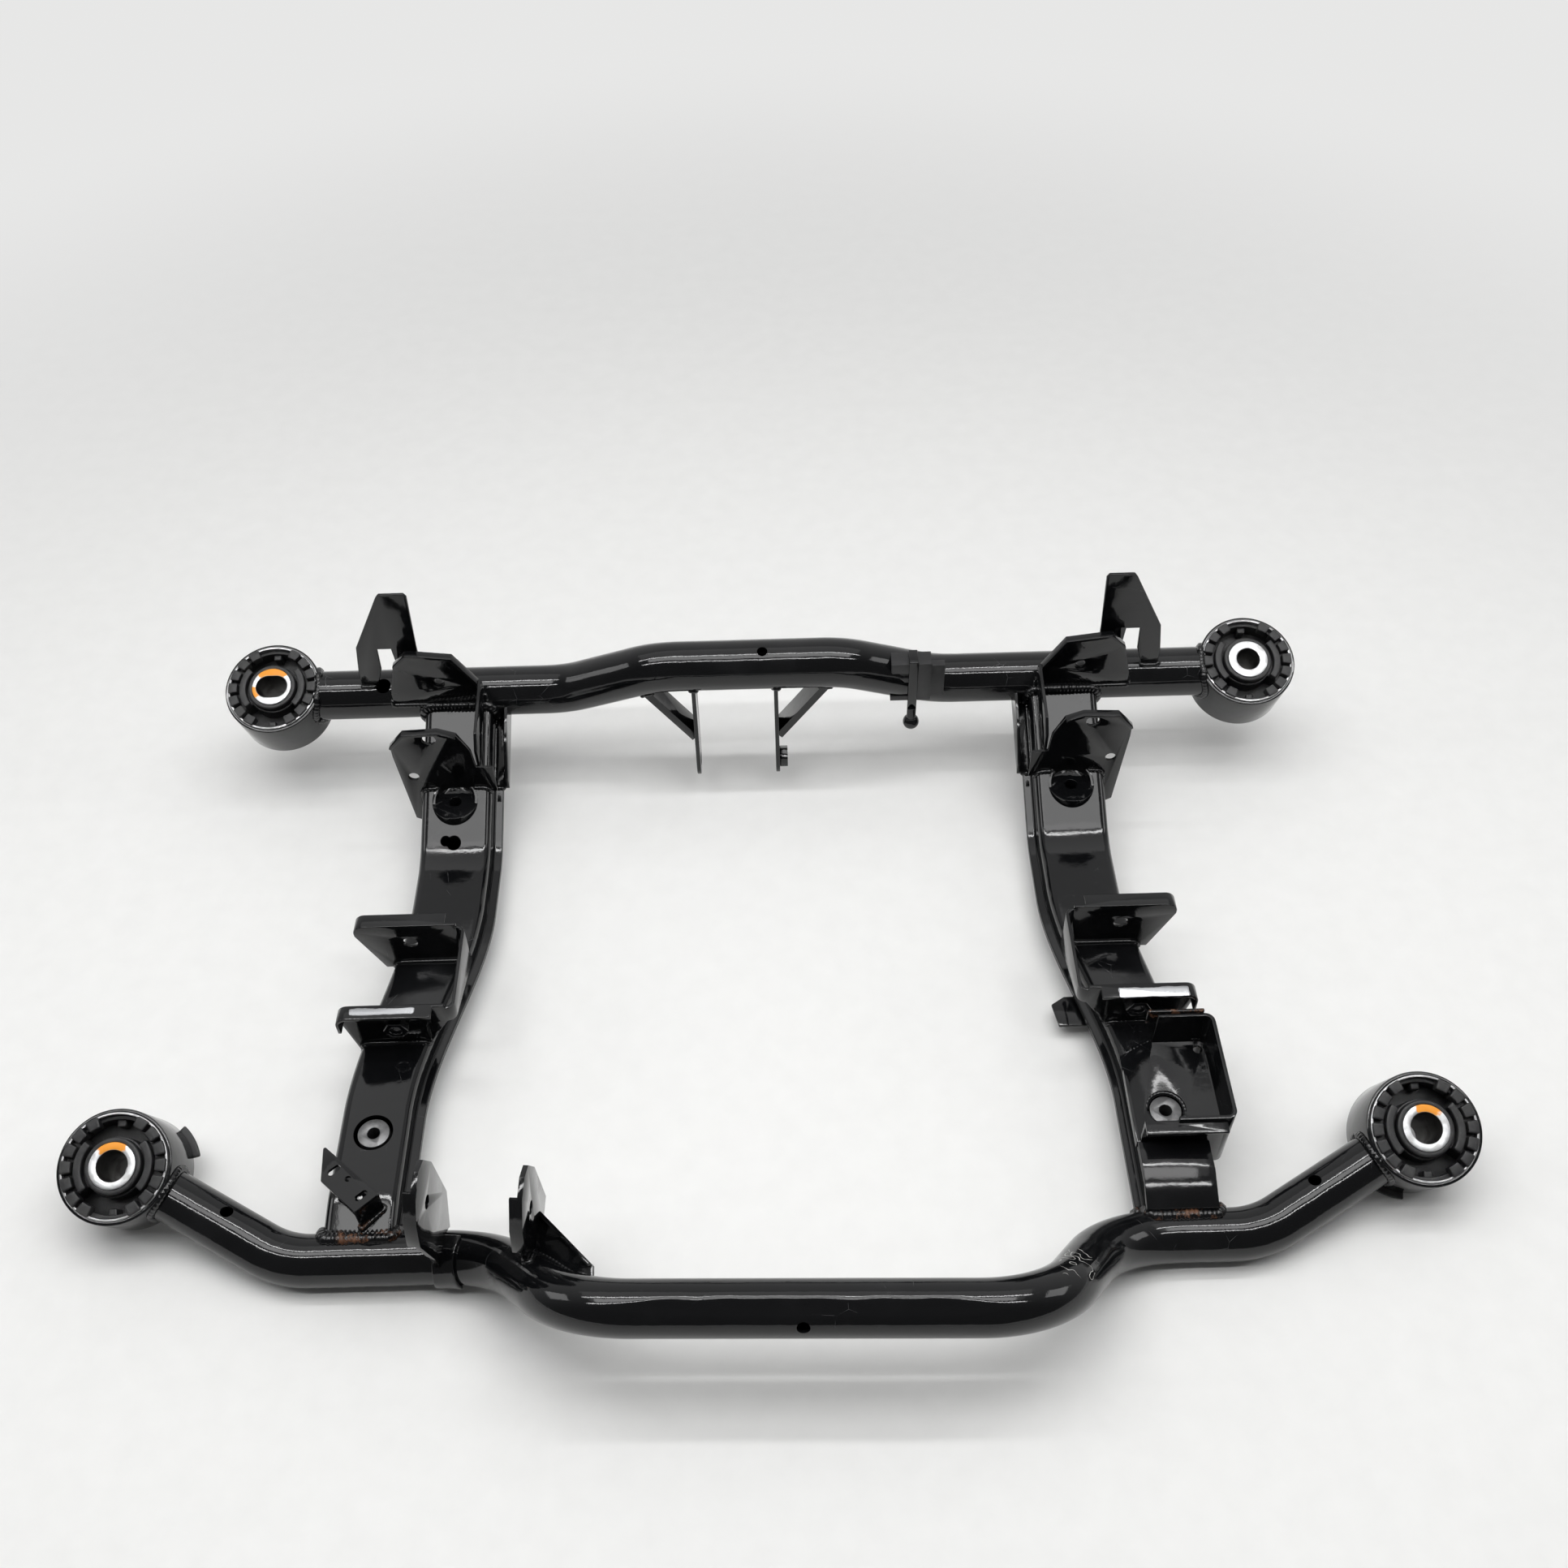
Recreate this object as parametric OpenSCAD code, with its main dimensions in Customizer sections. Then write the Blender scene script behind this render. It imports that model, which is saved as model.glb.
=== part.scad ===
// Rear axle subframe: two bent round tubes, two pressed side members, four rubber bushes in
// housings, and the brackets for the links, arms, axle drive and lines.
// X runs across the car, Y from the near tube to the far one, Z up from the ground it lies on.
// Lengths along Y count from the line through the faces of the two near bushes.

/* [Layout] */
// Half the distance between the two near bushes
near_bush_x = 530; // [500:1:560]
// Half the distance between the two far bushes
far_bush_x = 479; // [450:1:500]
// Distance from the near bush line to the far bush faces
far_bush_y = 487; // [470:1:500]
// Height of the near bush faces
near_bush_z = 76; // [74:1:90]
// Height of the far bush faces
far_bush_z = 136; // [126:1:146]
// Lean of the four bush axes towards the near side, in degrees
bush_lean = 23; // [18:1:26]
// Distance from the near bush line back to the middle of the frame
depth_middle = 189.2; // [180:0.2:200]

/* [Bushes] */
// Outer radius of a bush housing
housing_r = 46.5; // [44:0.5:50]
// Wall of a bush housing
housing_wall = 3; // [2:0.5:4]
// Length of a bush housing
housing_len = 52; // [44:1:60]
// Depth of the housing's edge below the face of the bush core
housing_drop = 5; // [3:0.5:8]
// Wall of the bare metal shell of a bush
shell_wall = 2; // [1.5:0.5:3]
// Height by which the shell stands proud of its housing
shell_proud = 1.5; // [0.5:0.5:3]
// Wall of the rubber skin bonded inside the shell
skin_wall = 3.5; // [2:0.5:4]
// Outer radius of a bush core
core_r = 19; // [17:0.5:20]
// Radius of the round bore of a near bush core
near_bore_r = 12.5; // [10:0.5:14]
// Radius of the round bore of the far right bush core
far_bore_r = 11; // [9:0.5:13]
// Length of the slot in the far left bush core, end to end
far_slot_len = 30; // [26:1:32]
// Length of a bush core
core_len = 60; // [54:1:66]
// Number of blocks round the rim of the rubber
rim_blocks = 18; // [12:2:24]
// Gap between two blocks of the rim
rim_gap = 3.5; // [2:0.5:5]
// Radial width of the rim blocks
rim_w = 7.5; // [6:0.5:9]
// Half angle of a through void in the rubber, in degrees
void_half = 52; // [40:2:58]
// Radial reach of the lug under a near bush, beyond the housing
lug_reach = 5; // [4:0.5:6]

/* [Tubes] */
// Outer radius of the near tube
near_tube_r = 21.2; // [20:0.1:22]
// Outer radius of the far tube
far_tube_r = 24.1; // [23:0.1:25]
// Wall of both tubes
tube_wall = 3; // [2.5:0.5:4]
// Distance by which the near tube's level runs lie in front of the near bush line
near_run_y = 60; // [56:1:64]
// Height of the near tube's raised middle above the ground
near_mid_z = 105; // [95:1:115]
// Distance by which the raised middle lies in front of the near bush line
near_mid_y = 149; // [140:1:156]
// Skew of the raised middle, over its whole length
near_mid_skew = 10; // [0:1:14]
// Depth of the flattened top of the raised middle
flat_depth = 1.4; // [0.5:0.1:2]
// Height of the far tube's level runs
far_run_z = 111.5; // [108:0.5:116]
// Distance from the near bush line to the far tube's level runs
far_run_y = 497; // [492:1:502]
// Rise of the far tube's middle, along the lean of the bushes
far_mid_rise = 48; // [40:1:54]
// Bend radius of both tubes, on the centre line
tube_bend_r = 85; // [70:1:90]

/* [Side members] */
// Sheet thickness of the members and brackets
sheet = 3; // [2.5:0.5:3.5]
// Distance from the middle plane to a member's outer wall at the near tube
member_near_out = 361; // [356:1:364]
// The same at the far tube
member_far_out = 331; // [328:1:335]
// Distance from the middle plane to a member's inner wall at the near tube
member_near_in = 303; // [300:1:306]
// The same at the far tube
member_far_in = 264; // [262:1:267]
// Height of the level run of a member
member_h = 48; // [44:1:52]
// Slope of the far run of a member, rise over run
member_slope = 0.48; // [0.4:0.01:0.52]
// Distance from the near bush line to the bend between the two runs
member_bend_y = 334; // [328:1:340]
// Press radius of a member's corners
press_r = 8; // [6:1:10]
// Width of the welded seam flange
flange_w = 8; // [6:0.5:10]
// Height of the seam flange in the level run
flange_z = 24; // [20:1:28]
// Distance of a seat collar from the middle plane
collar_x = 331; // [328:1:334]
// Distance of a seat collar behind the near bush line
collar_y = 40; // [36:1:44]
// Outer radius of a seat collar
collar_r = 13.4; // [12:0.2:15]
// Radius of the bolt bore through a seat collar
collar_bore_r = 5.2; // [4:0.1:7]
// Distance of a far seat from the middle plane
seat_x = 298; // [294:1:302]
// Distance of a far seat behind the near bush line
seat_y = 386; // [382:1:390]
// Radius of the threaded bore of a far seat
seat_thread_r = 6; // [5:0.5:8]

/* [Link brackets] */
// Height of the top edge of the link brackets
link_top_z = 100; // [92:1:106]
// Distance from the near bush line to the near ear of a link bracket
link_near_y = 129; // [126:1:134]
// Clear width between the two ears of a link bracket
link_gap = 83; // [76:1:88]
// Distance from the middle plane to the inner wall of a link bracket
link_wall_x = 266; // [262:1:268]
// Reach of the ears from the middle plane
link_reach_x = 366; // [360:1:370]
// Width of the folded edge flanges
fold_w = 11; // [8:0.5:12]
// Distance of the link bolt from the middle plane
link_bolt_x = 318; // [312:1:324]
// Height of the link bolt
link_bolt_z = 76; // [72:1:80]
// Radius of the bolt holes in the brackets
bolt_hole_r = 6.3; // [5:0.1:7]

/* [Arm brackets] */
// Distance from the near bush line to the near ear of an arm bracket
arm_near_y = 398; // [394:1:402]
// Distance from the near bush line to the far ear, where it stands on the tube
arm_far_y = 474; // [472:1:477]
// Height of the arm bolt
arm_bolt_z = 146; // [144:1:150]
// Distance of the arm bolt from the middle plane
arm_bolt_x = 312; // [308:1:318]

/* [Ears and uprights] */
// Distance from the middle plane to the middle of the middle pair of ears, to the left
mid_pair_x = 25; // [20:1:30]
// Distance between the inner faces of a pair of ears
ear_gap = 76; // [70:1:80]
// Sheet thickness of an ear
ear_sheet = 4; // [3:0.5:5]
// Distance from the near bush line to the bolt in the middle ears
mid_bolt_y = 468; // [464:1:472]
// Height of the bolt in the middle ears
mid_bolt_z = 36; // [32:1:42]
// Distance from the middle plane to the middle of the near pair of ears, to the left
near_pair_x = 223; // [218:1:228]
// Distance by which the bolt of the near ears lies in front of the near bush line
near_bolt_y = 61; // [58:1:64]
// Height of the bolt of the near ears
near_bolt_z = 116; // [112:1:122]
// Height of the uprights' top edge
upright_top_z = 250; // [240:1:258]
// Distance from the near bush line to the uprights
upright_y = 486; // [484:1:490]

/* [Hidden] */
paint = "#26282a";
bare_metal = "#c9cbcc";
black_rubber = "#17181a";
fine = 64;
cut = 1;

// Vectors
function unit(v) = v / norm(v);
function smooth(t) = let (u = min(max(t, 0), 1)) u * u * (3 - 2 * u);

// Everything is drawn from the near bush line and set down round the middle of the frame
module placed() {
    translate([0, -depth_middle, 0]) children();
}

module mirrored(side) {
    if (side < 0) mirror([1, 0, 0]) children();
    else children();
}

// Tubes

module run_between(a, b, r) {
    d = b - a;
    translate(a)
        rotate([0, acos(d.z / norm(d)), atan2(d.y, d.x)])
            cylinder(h = norm(d), r = r, $fn = fine);
}

// Length of a bend's tangent on each side of the corner b
function bend_turn(a, b, c) = 180 - acos(unit(a - b) * unit(c - b));
function bend_tangent(a, b, c) = tube_bend_r * tan(bend_turn(a, b, c) / 2);

module bend_at(a, b, c, r) {
    u = unit(a - b);
    v = unit(c - b);
    turn = bend_turn(a, b, c);
    centre = b + unit(u + v) * tube_bend_r / cos(turn / 2);
    e1 = unit(b + u * bend_tangent(a, b, c) - centre);
    e2 = -u;
    e3 = cross(e1, e2);
    multmatrix([[e1.x, e2.x, e3.x, centre.x],
                [e1.y, e2.y, e3.y, centre.y],
                [e1.z, e2.z, e3.z, centre.z]])
        rotate_extrude(angle = turn, $fn = fine)
            translate([tube_bend_r, 0])
                circle(r = r, $fn = fine);
}

// A bent rod along a path of corner points. A bend draws in by a hair, and the straight runs
// lap over its ends
module bent_rod(path, r) {
    last = len(path) - 1;
    for (i = [1 : last - 1]) bend_at(path[i - 1], path[i], path[i + 1], r - bend_draw);
    for (i = [0 : last - 1]) {
        a = path[i];
        b = path[i + 1];
        trim_a = i > 0 ? bend_tangent(path[i - 1], a, b) - bend_lap : 0;
        trim_b = i < last - 1 ? bend_tangent(a, b, path[i + 2]) - bend_lap : 0;
        run_between(a + unit(b - a) * trim_a, b - unit(b - a) * trim_b, r);
    }
}

bend_draw = 0.2;
bend_lap = 0.5;

// The point on a bush axis at half the height of its housing
function bush_heart(x, y, z) =
    [x, y + heart_drop * sin(bush_lean), z - heart_drop * cos(bush_lean)];
heart_drop = housing_drop + housing_len / 2;
near_bend_x = 393;
near_rise_left_x = 222;
near_rise_right_x = 272;
near_top_left_x = 150;
near_top_right_x = 204;
near_path = [bush_heart(-near_bush_x, 0, near_bush_z),
             [-near_bend_x, -near_run_y, near_tube_r],
             [-near_rise_left_x, -near_run_y, near_tube_r],
             [-near_top_left_x, near_mid_skew / 2 - near_mid_y, near_mid_z],
             [near_top_right_x, -near_mid_skew / 2 - near_mid_y, near_mid_z],
             [near_rise_right_x, -near_run_y, near_tube_r],
             [near_bend_x, -near_run_y, near_tube_r],
             bush_heart(near_bush_x, 0, near_bush_z)];
far_mid_y = far_run_y - far_mid_rise * sin(bush_lean);
far_mid_z = far_run_z + far_mid_rise * cos(bush_lean);
far_rise_left_x = 193;
far_rise_right_x = 172;
far_top_left_x = 101;
far_top_right_x = 80;
far_path = [[-far_bush_x, far_run_y, far_run_z],
            [-far_rise_left_x, far_run_y, far_run_z],
            [-far_top_left_x, far_mid_y, far_mid_z],
            [far_top_right_x, far_mid_y, far_mid_z],
            [far_rise_right_x, far_run_y, far_run_z],
            [far_bush_x, far_run_y, far_run_z]];

// The outer solid of each tube, which everything welded to it is cut by
module near_rod() {
    bent_rod(near_path, near_tube_r);
}

module far_rod() {
    bent_rod(far_path, far_tube_r);
}

module far_level() {
    run_between(far_path[0], far_path[5], far_tube_r);
}

// Bushes, drawn with their axis along Z and the face of the core at the origin
bushes = [[-near_bush_x, 0, near_bush_z],
          [near_bush_x, 0, near_bush_z],
          [-far_bush_x, far_bush_y, far_bush_z],
          [far_bush_x, far_bush_y, far_bush_z]];
shell_r = housing_r - housing_wall;
skin_r = shell_r - shell_wall;
housing_top = -housing_drop;
housing_foot = housing_top - housing_len;
shell_top = housing_top + shell_proud;
shell_foot = housing_foot + shell_proud;
rim_h = 7.5;
rim_top = -1;
web_top = rim_top - rim_h;
web_rise = 4;
web_foot = housing_foot + web_rise;
void_gap = 5.5;
void_in = core_r + void_gap;
void_out = skin_r - skin_wall;
kidney_half = 40;
kidney_gap = 6.5;
kidney_w = 6.5;
kidney_in = core_r + kidney_gap;
kidney_out = kidney_in + kidney_w;
boot_wall = 4;
boot_r = core_r + boot_wall;
lug_half = 17;
lug_h = 3.5;
lug_angles = [31, -114];

module at_bush(i) {
    translate(bushes[i]) rotate([bush_lean, 0, 0]) children();
}

// A flat ring sector between two radii, round the direction mid
module sector(r_in, r_out, mid, half) {
    reach = 2 * r_out;
    intersection() {
        difference() {
            circle(r = r_out, $fn = fine);
            circle(r = r_in, $fn = fine);
        }
        rotate(mid)
            polygon([[0, 0],
                     [reach * cos(half), -reach * sin(half)],
                     [reach, 0],
                     [reach * cos(half), reach * sin(half)]]);
    }
}

// What a tube is coped by, where it meets a housing
module housing_block(i) {
    at_bush(i)
        translate([0, 0, -core_len - cut])
            cylinder(h = core_len + 2 * cut, r = housing_r, $fn = fine);
}

module bush_housing(i) {
    color(paint) at_bush(i) difference() {
        translate([0, 0, housing_foot])
            cylinder(h = housing_len, r = housing_r, $fn = fine);
        translate([0, 0, housing_foot - cut])
            cylinder(h = housing_len + 2 * cut, r = shell_r, $fn = fine);
    }
}

module bush_shell(i) {
    shell_len = shell_top - shell_foot;
    color(bare_metal) at_bush(i) translate([0, 0, shell_foot]) difference() {
        cylinder(h = shell_len, r = shell_r, $fn = fine);
        translate([0, 0, -cut]) cylinder(h = shell_len + 2 * cut, r = skin_r, $fn = fine);
    }
}

// The rubber: a skin in the shell, two webs to the core with a raised arc on each, two voids
// between them, and a rim of blocks like the merlons of a castle
module bush_rubber(i) {
    block_step = 360 / rim_blocks;
    block_half = block_step / 2 - asin(rim_gap / 2 / skin_r);
    color(black_rubber) at_bush(i) {
        difference() {
            union() {
                translate([0, 0, web_foot]) cylinder(h = web_top - web_foot, r = skin_r, $fn = fine);
                translate([0, 0, web_top]) linear_extrude(rim_top - web_top) {
                    for (k = [0 : rim_blocks - 1])
                        if (abs(sin(k * block_step)) < cos(block_step))
                            sector(skin_r - rim_w, skin_r, k * block_step, block_half);
                    for (mid = [0, 180]) sector(kidney_in, kidney_out, mid, kidney_half);
                    circle(r = boot_r, $fn = fine);
                }
                translate([0, 0, web_foot - skin_wall])
                    cylinder(h = skin_wall, r = boot_r, $fn = fine);
            }
            for (mid = [90, 270])
                translate([0, 0, web_foot - cut])
                    linear_extrude(web_top - web_foot + 2 * cut)
                        sector(void_in, void_out, mid, void_half);
            translate([0, 0, -core_len]) cylinder(h = core_len + cut, r = core_r, $fn = fine);
        }
        if (i < 2) bush_lug(lug_angles[i]);
    }
}

// The moulded lug that keys a near bush to its housing, hanging under the housing's edge
module bush_lug(mid) {
    stem_in = skin_r - skin_wall;
    translate([0, 0, housing_foot - lug_h])
        linear_extrude(lug_h) sector(stem_in, housing_r + lug_reach, mid, lug_half);
    translate([0, 0, housing_foot])
        linear_extrude(web_foot - housing_foot) sector(stem_in, skin_r, mid, lug_half);
}

module bush_core(i) {
    slot_r = far_bore_r;
    slot_half = far_slot_len / 2 - slot_r;
    bore_r = i < 2 ? near_bore_r : far_bore_r;
    color(bare_metal) at_bush(i) translate([0, 0, -core_len]) difference() {
        cylinder(h = core_len, r = core_r, $fn = fine);
        translate([0, 0, -cut]) {
            if (i == 2) {
                for (s = [-1, 1])
                    translate([s * slot_half, 0, 0])
                        cylinder(h = core_len + 2 * cut, r = slot_r, $fn = fine);
                translate([-slot_half, -slot_r, 0])
                    cube([2 * slot_half, 2 * slot_r, core_len + 2 * cut]);
            } else {
                cylinder(h = core_len + 2 * cut, r = bore_r, $fn = fine);
            }
        }
    }
}

// A hollow tube is its rod less the rod of its bore
drain_r = 5;
drain_x = 45;
near_flat_lean = 24;

// The flattened top of the raised middle: what is pressed away, or the wall below it
module near_flat(depth, h) {
    a = near_path[3];
    b = near_path[4];
    half = norm(b - a) / 2 + cut;
    translate((a + b) / 2)
        rotate([near_flat_lean, 0, atan2(b.y - a.y, b.x - a.x)])
            translate([-half, -near_tube_r, near_tube_r - depth])
                cube([2 * half, 2 * near_tube_r, h]);
}

module front_tube() {
    color(paint) difference() {
        near_rod();
        difference() {
            bent_rod(near_path, near_tube_r - tube_wall);
            near_flat(flat_depth + tube_wall, 2 * tube_wall);
        }
        near_flat(flat_depth, 2 * flat_depth);
        for (i = [0, 1]) housing_block(i);
        for (s = [-1, 1])
            translate([s * (near_bend_x + drain_x), -near_run_y / 2, 0])
                cylinder(h = near_tube_r * 2, r = drain_r, $fn = fine);
        translate([drain_x / 2, -near_mid_y - near_tube_r, near_mid_z - near_tube_r / 2])
            rotate([-90, 0, 0]) cylinder(h = near_tube_r, r = drain_r, $fn = fine);
    }
}

rear_hole_x = -370;
rear_hole_turn = 26;
rear_hole_r = 7.5;
rear_mid_hole_x = 3;
rear_mid_hole_turn = 16;

module rear_tube() {
    color(paint) difference() {
        far_rod();
        bent_rod(far_path, far_tube_r - tube_wall);
        for (i = [2, 3]) housing_block(i);
        translate([rear_hole_x, far_run_y, far_run_z]) rotate([rear_hole_turn, 0, 0])
            cylinder(h = far_tube_r * 2, r = rear_hole_r, $fn = fine);
        translate([rear_mid_hole_x, far_mid_y, far_mid_z]) rotate([rear_mid_hole_turn, 0, 0])
            cylinder(h = far_tube_r * 2, r = drain_r, $fn = fine);
    }
}

// Side members: two pressings, swept along Y through stations
plan_from = 62;
plan_to = 284;
fall_h = 7;
fall_len = 50;
bend_blend = 18;
bottom_lag = 16;
lap_low = 8;
lap_high = 20;
member_start = near_tube_r * 2 / 5 - near_run_y;
member_end = far_run_y - 2 * sheet;
end_spare = 3 * sheet;

function taper(near, far, y) = far + (near - far) * (1 - smooth((y - plan_from) / (plan_to - plan_from)));
function member_out(y) = taper(member_near_out, member_far_out, y);
function member_in(y) = taper(member_near_in, member_far_in, y);
function ramp(d) = d < -bend_blend ? 0
    : d < bend_blend ? (d + bend_blend) * (d + bend_blend) / (4 * bend_blend)
    : d;
function member_top(y) = member_h - fall_h * (1 - smooth((y + near_run_y) / fall_len))
    + member_slope * ramp(y - member_bend_y);
function member_foot(y) = member_slope * ramp(y - member_bend_y - bottom_lag);

function steps(from, to, count) = [for (i = [0 : count - 1]) from + (to - from) * i / count];
stations = concat(steps(member_start, fall_len - near_run_y, 4),
                  steps(fall_len - near_run_y, plan_from, 3),
                  steps(plan_from, plan_to, 9),
                  steps(plan_to, member_bend_y - bend_blend, 1),
                  steps(member_bend_y - bend_blend, member_bend_y + bend_blend + bottom_lag, 6),
                  steps(member_bend_y + bend_blend + bottom_lag, member_end, 2),
                  [member_end, member_end + end_spare]);

// The inner wall as it is swept, straight from station to station
function wall_in(y) = lookup(y, [for (s = stations) [s, member_in(s)]]);

// Quarter arc of a pressed corner, from one direction to the next
corner_steps = 3;
function arc(c, r, from, to) =
    [for (i = [0 : corner_steps]) let (a = from + (to - from) * i / corner_steps)
        c + r * [cos(a), sin(a)]];

// Sections across a member at the distance y, as points in X and Z
function upper_section(y) = let (
    xi = member_in(y), xo = member_out(y), top = member_top(y), seam = member_foot(y) + flange_z,
    lap = member_foot(y) + lap_low)
    concat([[xi - flange_w, seam], [xi - flange_w, seam + sheet], [xi, seam + sheet]],
           arc([xi + press_r, top - press_r], press_r, 180, 90),
           arc([xo - press_r, top - press_r], press_r, 90, 0),
           [[xo, lap], [xo - sheet, lap]],
           arc([xo - press_r, top - press_r], press_r - sheet, 0, 90),
           arc([xi + press_r, top - press_r], press_r - sheet, 90, 180),
           [[xi + sheet, seam]]);

function lower_section(y) = let (
    xi = member_in(y), xo = member_out(y) - sheet, foot = member_foot(y), seam = foot + flange_z,
    lap = foot + lap_high)
    concat([[xi - flange_w, seam], [xi + sheet, seam]],
           arc([xi + press_r, foot + press_r], press_r - sheet, 180, 270),
           arc([xo - press_r, foot + press_r], press_r - sheet, 270, 360),
           [[xo - sheet, lap], [xo, lap]],
           arc([xo - press_r, foot + press_r], press_r, 360, 270),
           arc([xi + press_r, foot + press_r], press_r, 270, 180),
           [[xi, seam - sheet], [xi - flange_w, seam - sheet]]);

// The outline of the whole member, at its widest over the depth d behind the distance y
function block_section(y, d) = let (
    xi = member_in(y + d), xo = member_out(y), top = member_top(y), foot = member_foot(y),
    seam = foot + flange_z)
    concat([[xi - flange_w, seam - sheet], [xi - flange_w, seam + sheet], [xi, seam + sheet]],
           arc([xi + press_r, top - press_r], press_r, 180, 90),
           arc([xo - press_r, top - press_r], press_r, 90, 0),
           [[xo, foot], [xi, foot], [xi, seam - sheet]]);

// A solid through the same section points at each station
module swept(sections) {
    n = len(sections[0]);
    last = len(sections) - 1;
    points = [for (k = [0 : last]) for (p = sections[k]) [p.x, stations[k], p.y]];
    sides = [for (k = [0 : last - 1]) for (i = [0 : n - 1]) let (
                a = k * n + i, b = k * n + (i + 1) % n)
             each [[a, b, a + n], [b, b + n, a + n]]];
    near_end = [for (i = [0 : n - 1]) n - 1 - i];
    far_end = [for (i = [0 : n - 1]) last * n + i];
    polyhedron(points, concat(sides, [near_end], [far_end]));
}

// What stands on a member is cut by its outline: by one section in the level run, by one
// straight block in the sloping run, and by the side view of its top beside the near tube
module level_cut(y, d) {
    polygon(block_section(y, d));
}

module slope_block() {
    y = (member_bend_y + member_end) / 2;
    translate([0, y, 0]) rotate([slope_lean + 90, 0, 0])
        linear_extrude(2 * room, center = true)
            polygon([for (p = block_section(y, 0)) [p.x, p.y * cos(slope_lean)]]);
}

module near_roof_2d() {
    polygon(concat([[member_start, 0]],
                   [for (y = stations) if (y <= plan_from) [y, member_top(y)]],
                   [[plan_from, 0]]));
}

pad_r = 22;
seat_nut_r = 13.5;
seat_nut_h = 12;
pad_drop = 1;
pad_lip = 0.4;
pad_z = member_top(seat_y) - pad_drop;
slope_lean = atan(member_slope);
window_r = 16.5;
key_hole_r = 7;
key_slot_w = 9;
key_slot_len = 19;
key_y = 348;
room = 90;

// Everything past the far end of a member, under the far tube
module member_end_cut() {
    translate([0, member_end, 0]) cube([near_bush_x, room, 2 * room]);
}

module member_upper(side) {
    color(paint) mirrored(side) difference() {
        swept([for (y = stations) upper_section(y)]);
        mirrored(side) near_rod();
        far_level();
        member_end_cut();
        translate([seat_x, seat_y, pad_z - room / 3]) cylinder(h = room, r = pad_r, $fn = fine);
        translate([collar_x, collar_y, member_h - 2 * sheet])
            cylinder(h = 3 * sheet, r = window_r, $fn = fine);
        if (side < 0) {
            translate([seat_x, key_y, member_h - sheet])
                cylinder(h = room / 3, r = key_hole_r, $fn = fine);
            translate([seat_x + key_hole_r / 2, key_y - key_hole_r, member_h - sheet])
                cube([key_slot_w, key_slot_len, room / 3]);
        }
    }
}

module member_lower(side) {
    color(paint) mirrored(side) difference() {
        swept([for (y = stations) lower_section(y)]);
        mirrored(side) near_rod();
        far_level();
        member_end_cut();
        translate([collar_x, collar_y, -cut])
            cylinder(h = sheet + 2 * cut, r = collar_bore_r, $fn = fine);
    }
}

// The collar stands on the lower sheet and comes up through a window in the upper one
module seat_collar(side) {
    color(bare_metal) mirrored(side) translate([collar_x, collar_y, sheet]) difference() {
        cylinder(h = member_h - sheet - pad_drop, r = collar_r, $fn = fine);
        translate([0, 0, -cut]) cylinder(h = member_h, r = collar_bore_r, $fn = fine);
    }
}

// Weld nut with its flats six-sided, standing on a sheet at z = 0 and reaching down
module weld_nut(r, h, bore) {
    translate([0, 0, -h]) difference() {
        cylinder(h = h, r = r, $fn = 6);
        translate([0, 0, -cut]) cylinder(h = h + 2 * cut, r = bore, $fn = fine);
    }
}

// Everything above or below the plane that lies a height h over a member's sloping sheet
module slope_side(h, up) {
    translate([seat_x, seat_y, member_top(seat_y) + h])
        rotate([slope_lean, 0, 0])
            translate([-room, -room, up ? 0 : -2 * room]) cube(2 * room);
}

// The level seat set into the sloping sheet, with its skirt and its nut below: proud of the
// sheet on the near side, sunk in it on the far side
module seat_boss(side) {
    wide = [seat_x - room, seat_y - room];
    color(paint) mirrored(side) difference() {
        union() {
            difference() {
                translate([seat_x, seat_y, pad_z - room / 3])
                    cylinder(h = 2 * room / 3, r = pad_r, $fn = fine);
                translate([seat_x, seat_y, pad_z])
                    cylinder(h = room, r = pad_r - sheet, $fn = fine);
                translate([seat_x, seat_y, pad_z - sheet - room])
                    cylinder(h = room, r = pad_r - sheet, $fn = fine);
                difference() {
                    slope_side(pad_lip, true);
                    translate([wide.x, wide.y, pad_z - 2 * room]) cube(2 * room);
                }
                difference() {
                    slope_side(-sheet / cos(slope_lean) - pad_lip, false);
                    translate([wide.x, wide.y, pad_z - sheet]) cube(2 * room);
                }
            }
            translate([seat_x, seat_y, pad_z - sheet / 2])
                weld_nut(seat_nut_r, seat_nut_h + sheet / 2, seat_thread_r);
        }
        translate([seat_x, seat_y, pad_z - room / 2])
            cylinder(h = room, r = seat_thread_r, $fn = fine);
    }
}

// Sheets

// A sheet that faces along Y: its outline in X and Z, its near face at the distance y
module wall_across(y, t) {
    translate([0, y + t, 0]) rotate([90, 0, 0]) linear_extrude(t) children();
}

// A sheet that faces along X: its outline in Y and Z, its inner face at the distance x
module wall_along(x, t) {
    translate([x, 0, 0]) rotate([90, 0, 90]) linear_extrude(t) children();
}

module block(from, to) {
    translate(from) cube(to - from);
}

module bore_along_x(at, r) {
    translate([at.x - room / 2, at.y, at.z]) rotate([0, 90, 0]) cylinder(h = room, r = r, $fn = fine);
}

module bore_along_y(at, r) {
    translate([at.x, at.y + room, at.z]) rotate([90, 0, 0]) cylinder(h = 2 * room, r = r, $fn = fine);
}

// A corner rounded outwards, up and to the right of its centre
module corner_2d(at, r_out, r_in) {
    translate(at) intersection() {
        difference() {
            circle(r = r_out, $fn = fine);
            circle(r = r_in, $fn = fine);
        }
        square(r_out);
    }
}

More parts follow.
